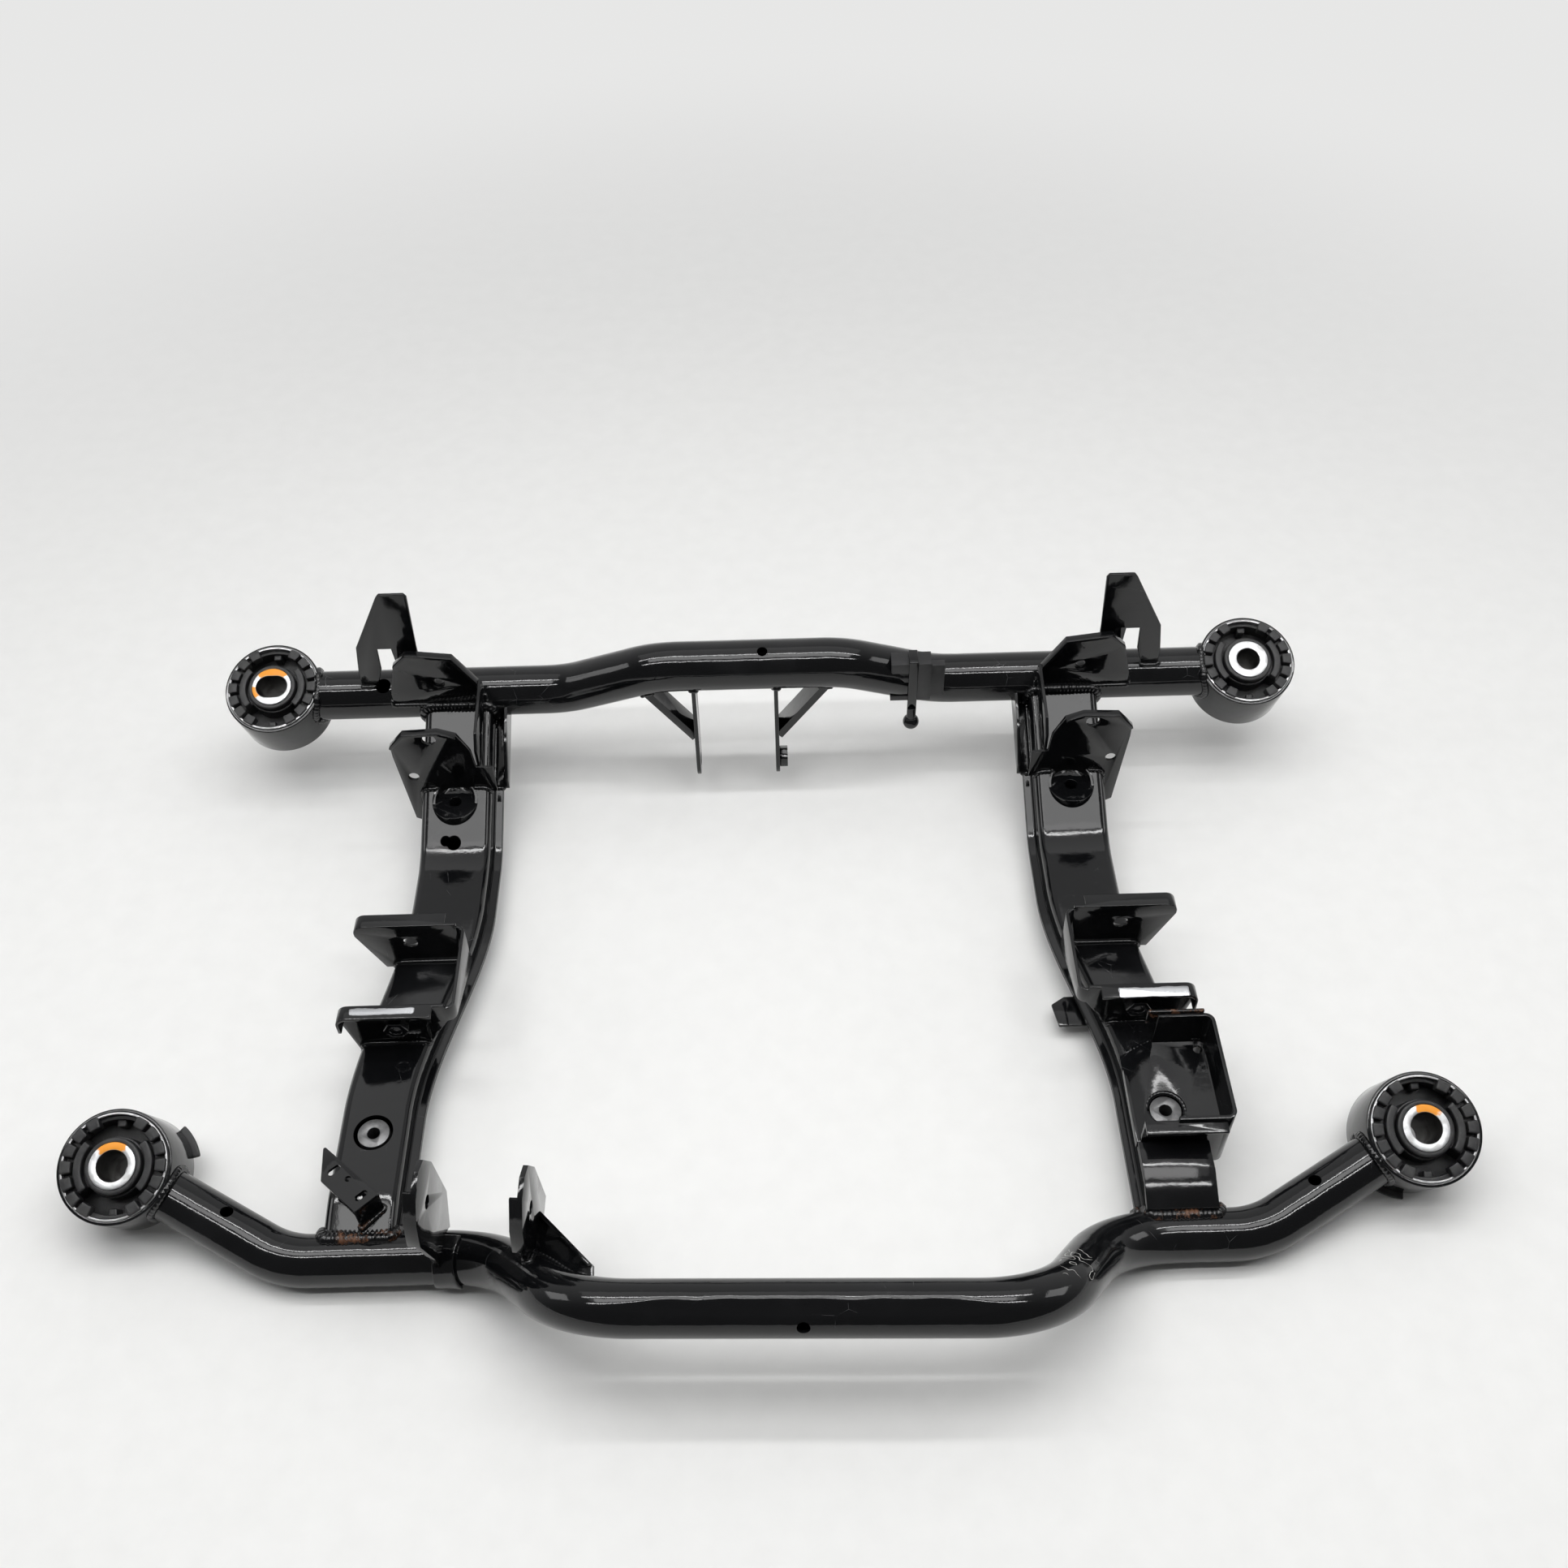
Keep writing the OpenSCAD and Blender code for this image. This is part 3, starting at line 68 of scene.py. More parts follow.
print("the near bushes' line lies at y =", round(to_frame([0, 0, 0])[1], 4), "m")

# %% [markdown]
# ## Camera
#
# The camera could be placed by eye. Here its place, its three directions and its focal length in
# pixels were measured in the photograph, and the last gives the lens on a 36 mm sensor, so that
# the render can be laid over the photograph.

# %% Camera
PHOTO_WIDTH = 1932
FOCAL_PIXELS = 1988
SENSOR = 36
CAMERA_AT = (17.656, -653.679, 1236.578)
CAMERA_RIGHT = (0.99959299, -0.02228483, -0.01781146)
CAMERA_UP = (0.02847755, 0.74223137, 0.66953836)
CAMERA_BACK = (-0.00170032, -0.66977308, 0.74256389)


def placed(data, right, up, back, at):
    """A camera or lamp at a point, with its own three directions as the columns of its matrix."""
    made = bpy.data.objects.new(data.name, data)
    bpy.context.scene.collection.objects.link(made)
    turn = np.eye(4)
    turn[:3, 0], turn[:3, 1], turn[:3, 2], turn[:3, 3] = right, up, back, at
    made.matrix_world = Matrix(turn.tolist())
    return made


camera_data = bpy.data.cameras.new("camera")
camera_data.sensor_fit = "HORIZONTAL"
camera_data.sensor_width = SENSOR
camera_data.lens = SENSOR * FOCAL_PIXELS / PHOTO_WIDTH
camera = placed(camera_data, CAMERA_RIGHT, CAMERA_UP, CAMERA_BACK, to_frame(CAMERA_AT))
bpy.context.scene.camera = camera
print("camera lens", round(camera_data.lens, 2), "mm at", camera.location[:])

# %% [markdown]
# ## Shader sums
#
# A finish can be wired by hand in the node editor, but it is easier to read as a sum. One class
# wraps a socket, and the usual signs between two of them add a Math node each. A second class
# holds the material, adds any node by its type, and names the few mixes that every finish uses.


# %% Shader sums
class Wire:
    """A shader value. a + b, a - b, a * b, a / b and a ** b add a Math node each."""

    def __init__(self, shade, socket):
        self.shade = shade
        self.socket = socket

    def sum(self, operation, a, b=0.0):
        return self.shade.node("Math", {"operation": operation}, a, b)

    def __add__(self, other):
        return self.sum("ADD", self, other)

    def __radd__(self, other):
        return self.sum("ADD", other, self)

    def __sub__(self, other):
        return self.sum("SUBTRACT", self, other)

    def __rsub__(self, other):
        return self.sum("SUBTRACT", other, self)

    def __mul__(self, other):
        return self.sum("MULTIPLY", self, other)

    def __rmul__(self, other):
        return self.sum("MULTIPLY", other, self)

    def __truediv__(self, other):
        return self.sum("DIVIDE", self, other)

    def __pow__(self, other):
        return self.sum("POWER", self, other)

    def absolute(self):
        return self.sum("ABSOLUTE", self)

    def at_least(self, other):
        return self.sum("MAXIMUM", self, other)

    def at_most(self, other):
        return self.sum("MINIMUM", self, other)


class Shade:
    """One material, or the world, under construction."""

    def __init__(self, name, block=None):
        self.material = block or bpy.data.materials.new(name)
        self.material.use_nodes = True
        self.tree = self.material.node_tree
        self.tree.nodes.clear()

    def node(self, kind, settings=None, *values, out=0, **named):
        """Any node: its type, its settings, then the values or wires of its sockets."""
        made = self.tree.nodes.new("ShaderNode" + kind)
        for key, value in (settings or {}).items():
            setattr(made, key, value)
        sockets = dict(enumerate(values))
        sockets.update({key.replace("_", " "): value for key, value in named.items()})
        for key, value in sockets.items():
            if isinstance(value, Wire):
                self.tree.links.new(value.socket, made.inputs[key])
            elif value is not None:
                made.inputs[key].default_value = value
        return Wire(self, made.outputs[out]) if made.outputs else None

    def parts(self, point):
        """The three parts of a vector."""
        first = self.node("SeparateXYZ", None, point)
        return [Wire(self, output) for output in first.socket.node.outputs]

    def place(self):
        """The point on the object in metres, and its three parts."""
        point = self.node("TexCoord", out=3)
        return point, self.parts(point)

    def noise(self, point, scale, detail=3.0, rough=0.5):
        """Soft noise from 0 to 1, with scale cells in a metre."""
        return self.node("TexNoise", None, Vector=point, Scale=scale, Detail=detail,
                         Roughness=rough)

    def blend(self, share, a, b):
        """A colour between a and b."""
        a, b = (colour if isinstance(colour, Wire) else (*colour, 1) for colour in (a, b))
        colour_sockets = [None] * 5 + [a, b]
        settings = {"data_type": "RGBA", "clamp_factor": True}
        return self.node("Mix", settings, share, *colour_sockets, out=2)

    def ramp(self, value, low, high):
        """0 below low, 1 above high, and smooth between them."""
        settings = {"interpolation_type": "SMOOTHSTEP"}
        return self.node("MapRange", settings, value, low, high, 0.0, 1.0)

    def finish(self, colour, roughness, metallic, height, bump):
        """The surface itself, with a Bump node for its height."""
        normal = self.node("Bump", None, Strength=bump, Distance=MM, Height=height)
        surface = self.node("BsdfPrincipled", None, Base_Color=colour, Roughness=roughness,
                            Metallic=metallic, Normal=normal)
        self.node("OutputMaterial", None, surface)
        return self.material


print("a shader value has", [name for name, made in vars(Wire).items() if callable(made)])

# %% [markdown]
# ## Black dip paint
#
# The whole weldment was dipped after welding. The film is thick and glossy, with a fine orange
# peel and slow waves that break up long reflections. Fine scratches cross it, dust dulls it in
# patches, and on a few edges it has begun to rust. On the folds of the link brackets, silver strips
# of rubbed-through paint also stand as a painted highlight. An image could carry all this, but
# noise on the object's own coordinates stays sharp at any distance and needs no unwrapping. Where
# the silver strips and the rust sit is given as boxes in the drawing's own millimetres.

# %% Black dip paint
FILM_BLACK, DUST_GREY = (0.0035, 0.0037, 0.0042), (0.032, 0.033, 0.035)
# The silver in the last of these colours is rubbed-through paint that is also a painted highlight
# on the link folds.
SCRATCH_GREY, SCRAPED_GREY, WORN_HIGHLIGHT_SILVER = (0.14, 0.14, 0.145), (0.5, 0.5, 0.48), (0.62, 0.63, 0.65)
RUST_DARK, RUST_LIGHT = (0.035, 0.012, 0.006), (0.2, 0.08, 0.03)
BOX_MARGIN = 4.0


def inside(shade, parts, low, high):
    """1 inside the box from low to high, falling to 0 over a soft margin outside it."""
    mask = 1.0
    for part, a, b in zip(parts, to_frame(low), to_frame(high)):
        away = (part - float((a + b) / 2)).absolute() - float((b - a) / 2)
        mask = (1.0 - shade.ramp(away, 0.0, BOX_MARGIN * MM)) * mask
    return mask


def paint(name, worn_highlights=(), rusty=(), scraped=(), gloss=0.05):
    """Black paint with silver strips in the boxes of worn_highlights, rubbed-through paint that is
    also a painted highlight, rust in the boxes of rusty, and curly bright scrapes in the boxes of
    scraped."""
    s = Shade(name)
    point, parts = s.place()
    dust = s.ramp(s.noise(point, 9, 5, 0.6), 0.48, 0.78)
    specks = s.ramp(s.noise(point, 420, 2), 0.7, 0.76)
    scratch_lines = s.node("TexVoronoi", {"feature": "DISTANCE_TO_EDGE"}, Vector=point, Scale=38.0)
    scratch_field = s.ramp(s.noise(point, 21, 4, 0.7), 0.56, 0.68)
    scratches = (1.0 - s.ramp(scratch_lines, 0.002, 0.01)) * scratch_field
    peel, ripple, waves = s.noise(point, 900, 2), s.noise(point, 130, 3), s.noise(point, 30, 2)
    height = peel * 0.03 + ripple * 0.16 + waves * 0.7
    roughness = gloss + dust * 0.07 + scratches * 0.25 + s.noise(point, 60, 4) * 0.04
    colour = s.blend(dust * 0.22 + specks * 0.2, FILM_BLACK, DUST_GREY)
    colour = s.blend(scratches * 0.3, colour, SCRATCH_GREY)
    metallic = 0.0
    # Silver strips in these boxes are rubbed-through paint and also a painted highlight of the
    # folds.
    for low, high in worn_highlights:
        mask = inside(s, parts, low, high)
        ragged = s.ramp(s.noise(point, 55, 5, 0.65) + mask * 0.5, 0.74, 0.86) * mask
        colour = s.blend(ragged, colour, WORN_HIGHLIGHT_SILVER)
        metallic = ragged + metallic
        roughness = roughness + ragged * 0.15
    for low, high in scraped:
        curl = (s.noise(point, 95, 1) - 0.5).absolute()
        line = (1.0 - s.ramp(curl, 0.004, 0.014)) * inside(s, parts, low, high)
        colour = s.blend(line, colour, SCRAPED_GREY)
        roughness = roughness + line * 0.3
    for low, high in rusty:
        mask = inside(s, parts, low, high)
        ragged = s.ramp(s.noise(point, 95, 5, 0.7), 0.5, 0.64) * mask * 0.85
        colour = s.blend(ragged, colour, s.blend(s.noise(point, 500, 3), RUST_DARK, RUST_LIGHT))
        roughness = roughness + ragged * 0.5
        height = height + ragged * s.noise(point, 700, 4) * 0.6
    return s.finish(colour, roughness, metallic, height, 0.5)


# Boxes on the folds of the two link brackets, where silver strips are painted as their highlights
# as well as rubbed paint.
LINK_FOLD_HIGHLIGHTS = [((-352, 124, 100), (-300, 127, 116)), ((300, 120, 100), (356, 126, 116))]
TRAY_STRIP = [((290, 60, 60), (380, 130, 130))]
MEMBER_FEET = [((-345, -60, 0), (-270, -35, 60)), ((290, -60, 30), (390, -20, 70))]
NEAR_BEND_TOP = [((217, -128, 80), (239, -100, 108))]

PAINT = paint("black_paint")
# This finish carries the painted highlights on the link folds.
WORN_HIGHLIT_LINKS = paint("black_paint_worn_highlight", worn_highlights=LINK_FOLD_HIGHLIGHTS)
RUSTY_STRIP = paint("black_paint_rusty", rusty=TRAY_STRIP)
WELD = paint("black_paint_welds", rusty=MEMBER_FEET, gloss=0.12)
NEAR_PAINT = paint("black_paint_scraped", scraped=NEAR_BEND_TOP)
print("made", [m.name for m in (PAINT, WORN_HIGHLIT_LINKS, RUSTY_STRIP, WELD, NEAR_PAINT)])

# %% [markdown]
# ## Bare steel
#
# The bush cores are turned and left bare, so fine rings run round their axis. Three of them carry
# a dab of orange marking paint on the face. Both could be drawn in the bush's own UV map. Here the
# shader works out how far a point lies from the bush axis and how far round it, so the rings and
# the dabs are sums of those two numbers and the mesh needs no map.

# %% Bushes in the drawing
BUSH_LEAN = math.radians(23)
BUSHES = {
    "front_left": (-530, 0, 76),
    "front_right": (530, 0, 76),
    "rear_left": (-479, 487, 136),
    "rear_right": (479, 487, 136),
}
BUSH_AXES = np.array([[1, 0, 0],
                      [0, math.cos(BUSH_LEAN), math.sin(BUSH_LEAN)],
                      [0, -math.sin(BUSH_LEAN), math.cos(BUSH_LEAN)]])
BORES = {"front_left": 12.5, "front_right": 12.5, "rear_left": 11, "rear_right": 11}
SLOTS = {"front_left": 0.0, "front_right": 0.0, "rear_left": 4.0, "rear_right": 0.0}


def at_bush(name, points):
    """Points drawn round a bush's own axis, turned by its lean and set at its face."""
    return np.asarray(points, float) @ BUSH_AXES + BUSHES[name]


def bush_place(shade, name):
    """The point, and as wires in millimetres and degrees the distance from the bush axis, the way
    round it, the distance from the middle line of the bore, and the height over the bush's face.

    With x, y, z as the point's parts along the bush axes, the distance is the root of x^2 + y^2,
    the way round is the arc tangent of y / x, and a slot takes its half length off |x| first."""
    point, _ = shade.place()
    away = shade.node("VectorMath", {"operation": "SUBTRACT"}, point, tuple(to_frame(BUSHES[name])))
    x, y, z = [shade.node("VectorMath", {"operation": "DOT_PRODUCT"}, away, tuple(axis), out=1)
               for axis in BUSH_AXES]
    radius = (x * x + y * y) ** 0.5
    beyond = (x.absolute() - SLOTS[name] * MM).at_least(0.0)
    from_slot = (beyond * beyond + y * y) ** 0.5
    angle = shade.node("Math", {"operation": "ARCTAN2"}, y, x) * (180 / math.pi)
    return point, radius / MM, angle, from_slot / MM, z / MM


print("bush faces", {name: at_bush(name, [0, 0, 0]).tolist() for name in BUSHES})

# %% Bare steel
# The last of these colours is painted shade, laid on the walls of the bores.
CLEAN_STEEL, STAINED_STEEL, BORE_SHADE = (0.78, 0.79, 0.8), (0.56, 0.56, 0.56), (0.05, 0.045, 0.04)
MARKING_ORANGE = (0.86, 0.32, 0.02)
# Each mark is the middle of its arc and half its spread, in degrees round the bush.
MARKS = {
    "front_left": ((95, 50),),
    "front_right": ((78, 46),),
    "rear_left": ((90, 62), (215, 16)),
    "rear_right": (),
}


def turned_steel(name):
    """Turned steel: rings round the axis, dull patches, arcs of orange marking paint, and a bore
    coloured near black as painted shade.
    """
    s = Shade(name + "_steel")
    point, radius, angle, from_slot, height = bush_place(s, name)
    face = s.ramp(height, -4.0, -2.0)
    rings = s.node("TexNoise", {"noise_dimensions": "1D"}, W=radius * 2.2, Scale=1.0, Detail=4.0)
    stain = s.ramp(s.noise(point, 110, 4), 0.42, 0.7)
    colour = s.blend(stain, CLEAN_STEEL, STAINED_STEEL)
    roughness = 0.3 + rings * 0.2 + stain * 0.15
    metallic = 1.0
    bore = 1.0 - s.ramp(from_slot, BORES[name] + 0.1, BORES[name] + 1.0)
    # The bore's wall is coloured near black: painted shade in the hollow.
    colour = s.blend(bore * 0.9, colour, BORE_SHADE)
    frayed = s.noise(point, 260, 3) * 22.0
    for middle, half in MARKS[name]:
        turn = (angle - float(middle)).absolute()
        turn = turn.at_most(360.0 - turn)
        mark = (1.0 - s.ramp(turn + frayed, half - 4.0, half + 4.0)) * (1.0 - bore) * face
        colour = s.blend(mark, colour, MARKING_ORANGE)
        roughness = roughness + mark * 0.1
        metallic = (metallic - mark).at_least(0.0)
    return s.finish(colour, roughness, metallic, rings, 0.06)


def plain_steel(name, tone, rough):
    """Bare steel of a plain sheet or ring, with stains and fine brushing."""
    s = Shade(name)
    point, _ = s.place()
    stain = s.ramp(s.noise(point, 70, 5, 0.6), 0.4, 0.72)
    fine = s.noise(point, 900, 3)
    colour = s.blend(stain, (tone, tone, tone * 1.01), (tone * 0.6, tone * 0.6, tone * 0.6))
    return s.finish(colour, rough + stain * 0.2 + fine * 0.1, 1.0, fine, 0.08)


SHELL_STEEL = plain_steel("shell_steel", 0.5, 0.3)
COLLAR_STEEL = plain_steel("collar_steel", 0.17, 0.34)
CORE_STEEL = {name: turned_steel(name) for name in BUSHES}
print("bare steel", SHELL_STEEL.name, COLLAR_STEEL.name, [m.name for m in CORE_STEEL.values()])

# %% [markdown]
# ## Rubber and plastic
#
# The bushes' rubber is matt and holds a pale dust on the tops of its blocks. The line clip on the
# rear tube is moulded plastic, a little smoother. Both are the same dark dielectric with two or
# three layers of noise, because what tells them apart is the grain and how it scatters light.

# %% Rubber and plastic
RUBBER_BLACK, RUBBER_BLOOM = (0.011, 0.011, 0.012), (0.075, 0.075, 0.072)
PLASTIC_BLACK, PLASTIC_BLOOM = (0.012, 0.012, 0.013), (0.05, 0.05, 0.05)


def rubber(name):
    """Matt moulded rubber with a pale bloom of dust and a fine grain."""
    s = Shade(name)
    point, _ = s.place()
    bloom = s.ramp(s.noise(point, 38, 5, 0.65), 0.46, 0.74)
    specks = s.ramp(s.noise(point, 520, 2), 0.68, 0.76)
    grain = s.noise(point, 1500, 3) + s.noise(point, 240, 3) * 0.6
    colour = s.blend(bloom * 0.5 + specks * 0.4, RUBBER_BLACK, RUBBER_BLOOM)
    return s.finish(colour, 0.42 + bloom * 0.25, 0.0, grain, 0.25)


def plastic(name):
    """Black moulded plastic with an even fine grain."""
    s = Shade(name)
    point, _ = s.place()
    grain = s.noise(point, 2200, 2)
    bloom = s.ramp(s.noise(point, 60, 4), 0.5, 0.75)
    colour = s.blend(bloom * 0.4, PLASTIC_BLACK, PLASTIC_BLOOM)
    return s.finish(colour, 0.42 + bloom * 0.12, 0.0, grain, 0.2)


RUBBER = rubber("rubber")
PLASTIC = plastic("clip_plastic")
print("finishes", [m.name for m in bpy.data.materials])

# %% [markdown]
# ## From arrays to pieces
#
# A tube or a pressing could be modelled with curves and extrusions in the editor. Here a shape is
# a grid of points worked out as one array, and neighbours in the grid become quads, so that every
# size of the drawing goes straight into the mesh. A grid may close on itself along one side or
# both, and an open end may be closed by one face.

# %% From arrays to pieces
MERGED = 0.01


class Build:
    """Vertices and faces that are gathered for one piece."""

    def __init__(self):
        self.points = []
        self.faces = []
        self.count = 0

    def grid(self, points, wrap_u=False, wrap_v=False, caps=False):
        """A grid of shape (u, v, 3) in drawing millimetres, whose cells become quads."""
        nu, nv, _ = points.shape
        index = np.arange(nu * nv).reshape(nu, nv) + self.count
        if wrap_u:
            index = np.vstack([index, index[:1]])
        if wrap_v:
            index = np.hstack([index, index[:, :1]])
        quads = np.stack([index[:-1, :-1], index[1:, :-1], index[1:, 1:], index[:-1, 1:]], -1)
        self.faces.extend(quads.reshape(-1, 4).tolist())
        if caps:
            ring = np.arange(nv)
            self.faces.append((ring + self.count).tolist())
            self.faces.append((ring[::-1] + self.count + (nu - 1) * nv).tolist())
        self.points.append(points.reshape(-1, 3))
        self.count += nu * nv
        return self

    def closed(self, *grids):
        """Grids that close round v and are capped at both ends."""
        for points in grids:
            self.grid(points, wrap_v=True, caps=True)
        return self

    def looped(self, *grids):
        """Grids that close both ways, as a ring does."""
        for points in grids:
            self.grid(points, wrap_u=True, wrap_v=True)
        return self

    def mesh(self, name):
        mesh = bpy.data.meshes.new(name)
        mesh.from_pydata(to_frame(np.vstack(self.points)), [], self.faces)
        return mesh


def in_bmesh(mesh, change):
    """Opens the mesh for change(work), and writes it back."""
    work = bmesh.new()
    work.from_mesh(mesh)
    change(work)
    work.to_mesh(mesh)
    work.free()


def merge_and_turn_out(work):
    """Merges doubles and turns every face outwards."""
    bmesh.ops.remove_doubles(work, verts=work.verts, dist=MERGED * MM)
    bmesh.ops.recalc_face_normals(work, faces=work.faces)


def linked(name, mesh):
    """A new object at the origin, in the scene."""
    made = bpy.data.objects.new(name, mesh)
    bpy.context.scene.collection.objects.link(made)
    return made


def piece(mesh, material, replaced=(), sharp=35):
    """An object at the origin that rides on the frame and stands for CAD nodes. It is shaded
    smooth, but for edges that turn by more than the angle of sharp, in degrees."""
    in_bmesh(mesh, merge_and_turn_out)
    mesh.shade_smooth()
    mesh.set_sharp_from_angle(angle=math.radians(sharp))
    mesh.materials.clear()
    mesh.materials.append(material)
    made = linked(mesh.name, mesh)
    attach(made, "root")
    if replaced:
        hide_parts(*replaced)
    return made


square = np.array([[[0, 0, z], [1, 0, z], [1, 1, z], [0, 1, z]] for z in (0.0, 1.0)])
print("2 rows of 4 points, closed and capped, make", len(Build().closed(square).faces), "faces")

# %% [markdown]
# ## Sections and paths
#
# A bent tube is straight runs joined by arcs of the bending tool's radius, and a pressed sheet
# turns every corner in a small arc. Both could be left to a Bevel modifier, but a row of sections
# has to keep the same number of points from one end to the other, so the arcs are worked out.

# %% Sections and paths
CORNER_STEPS = 4
ARC_STEP, RUN_STEP = 2.5, 6.0
# An arc takes at most this share of the shorter side, and no corner counts as straighter.
MOST_REACH, STRAIGHTEST = 0.45, 0.9999


def unit(vectors):
    """Vectors of length 1 along the last axis."""
    return vectors / np.linalg.norm(vectors, axis=-1, keepdims=True)


def rounded(points, radii):
    """Every corner of a closed outline is swapped for an arc of its radius, which touches the
    corner's two sides. Its centre lies on the line that halves the corner.

    points has the shape (..., corners, 2), so a whole row of sections is rounded at once."""
    points = np.asarray(points, float)
    before = np.roll(points, 1, axis=-2) - points
    after = np.roll(points, -1, axis=-2) - points
    len_before = np.linalg.norm(before, axis=-1, keepdims=True)
    len_after = np.linalg.norm(after, axis=-1, keepdims=True)
    u, v = before / len_before, after / len_after
    cos_corner = np.clip((u * v).sum(-1, keepdims=True), -STRAIGHTEST, STRAIGHTEST)
    half = np.arccos(cos_corner) / 2
    radii = np.broadcast_to(np.asarray(radii, float)[..., None], len_before.shape)
    reach = np.minimum(radii / np.tan(half), MOST_REACH * np.minimum(len_before, len_after))
    radius = reach * np.tan(half)
    centre = points + unit(u + v) * radius / np.sin(half)
    start = points + u * reach - centre
    end = points + v * reach - centre
    turn = (np.pi - 2 * half)[..., None, :]
    share = np.linspace(0, 1, CORNER_STEPS + 1)[:, None]
    a, b = np.sin((1 - share) * turn) / np.sin(turn), np.sin(share * turn) / np.sin(turn)
    arcs = centre[..., None, :] + a * start[..., None, :] + b * end[..., None, :]
    return arcs.reshape(*points.shape[:-2], -1, 2)


def bent_path(corners, bend_r):
    """Points along a path of straight runs and round bends, with the direction at each.

    At a corner the run stops short by bend_r * tan(turn / 2), and an arc joins the two runs."""
    corners = np.asarray(corners, float)
    places, start = [], corners[0]
    for i in range(1, len(corners) - 1):
        u, v = unit(corners[i - 1] - corners[i]), unit(corners[i + 1] - corners[i])
        turn = np.pi - np.arccos(u @ v)
        reach = bend_r * math.tan(turn / 2)
        centre = corners[i] + unit(u + v) * bend_r / math.cos(turn / 2)
        a, b = corners[i] + u * reach, corners[i] + v * reach
        count = max(2, int(np.linalg.norm(a - start) / RUN_STEP))
        places.append(start + (a - start) * np.linspace(0, 1, count, endpoint=False)[:, None])
        count = max(4, int(math.degrees(turn) / ARC_STEP))
        t = np.linspace(0, 1, count, endpoint=False)[:, None] * turn
        e1, e2 = (a - centre) / bend_r, -u
        places.append(centre + bend_r * (np.cos(t) * e1 + np.sin(t) * e2))
        start = b
    count = max(2, int(np.linalg.norm(corners[-1] - start) / RUN_STEP))
    places.append(start + (corners[-1] - start) * np.linspace(0, 1, count)[:, None])
    points = np.vstack(places)
    return points, unit(np.gradient(points, axis=0))


def round_axes(along):
    """Two directions square to the path: the first towards the near side, the second upwards."""
    near = unit(np.cross(along, [0, 0, 1]))
    return near, np.cross(near, along)


def full_turn(count):
    """The angles of count points round a circle."""
    return np.linspace(0, 2 * np.pi, count, endpoint=False)


print("a square with rounded corners has", len(rounded([(0, 0), (9, 0), (9, 9), (0, 9)], [2] * 4)),
      "points")

# %% [markdown]
# ## Holes
#
# Drain holes and the seats of the collars are drilled after the sheet is formed. Their edges could
# be built into the grid, but a Boolean modifier cuts a round hole through a curved wall just as a
# drill does. Its result is kept as the piece's own mesh, so nothing is left to the modifier.

# %% Holes
DRILL_REACH = 40
# No drill and no seam of this part runs along these two directions.
ASKEW, BEAD_ASKEW = (0.3, 0.5, 0.81), (0.31, 0.47, 0.83)
AROUND_ROD = 48


def rod(start, end, r, count=AROUND_ROD):
    """A closed rod from start to end: two rings of r * (cos t * side + sin t * other)."""
    start, end = np.asarray(start, float), np.asarray(end, float)
    along = unit(end - start)
    side = unit(np.cross(along, ASKEW))
    t = full_turn(count)[:, None]
    ring = r * (np.cos(t) * side + np.sin(t) * np.cross(along, side))
    return np.stack([start + ring, end + ring])


def drill(at, towards, r):
    """A rod of radius r that stands at a point and goes towards a direction."""
    at = np.asarray(at, float)
    return rod(at, at + unit(np.asarray(towards, float)) * DRILL_REACH, r)


def upright_drill(at, z, reach, r):
    """An upright rod of radius r at a place of the drawing, from below to above a height."""
    below, above = reach
    return rod((*at, z + below), (*at, z + above), r)


def modified(mesh, modifier, **settings):
    """The mesh as a modifier with these settings leaves it."""
    holder = linked("work", mesh)
    made = holder.modifiers.new("work", modifier)
    for key, value in settings.items():
        setattr(made, key, value)
    done = holder.evaluated_get(bpy.context.evaluated_depsgraph_get())
    result = bpy.data.meshes.new_from_object(done)
    result.name = mesh.name
    bpy.data.objects.remove(holder)
    return result


def cut_away(mesh, cutters):
    """The mesh less the closed grids in cutters."""
    tool_mesh = Build().closed(*cutters).mesh("tool")
    for each in (tool_mesh, mesh):
        in_bmesh(each, merge_and_turn_out)
    tool = linked("tool", tool_mesh)
    result = modified(mesh, "BOOLEAN", object=tool, operation="DIFFERENCE", solver="EXACT")
    bpy.data.objects.remove(tool)
    return result


print("a drill has", drill((0, 0, 0), (0, 0, 1), 5).shape, "points")

# %% [markdown]
# ## The two tubes
#
# Both cross tubes are round steel tube, drawn and then bent. A curve with a round bevel would give
# such a tube, but not its marks: the near tube's raised middle was squeezed flat on top by its
# bending tool, which left shallow dents. So each tube is a ring carried along its path, and on the
# near one the ring's radius is held back in one direction by a depth that wavers along the run.

# %% Paths of the tubes
TUBE_BEND_R = 85
TUBE_WALL = 3
NEAR_R, FAR_R = 21.2, 24.1
HEART_DROP = 31
NEAR_RUN_Y, NEAR_BEND_X = -60, 393
FAR_RUN_Y, FAR_RUN_Z, FAR_MID_RISE = 497, 111.5, 48


def bush_heart(name):
    """The middle of a bush on its axis, where its tube is aimed."""
    return at_bush(name, [[0, 0, -HEART_DROP]])[0]


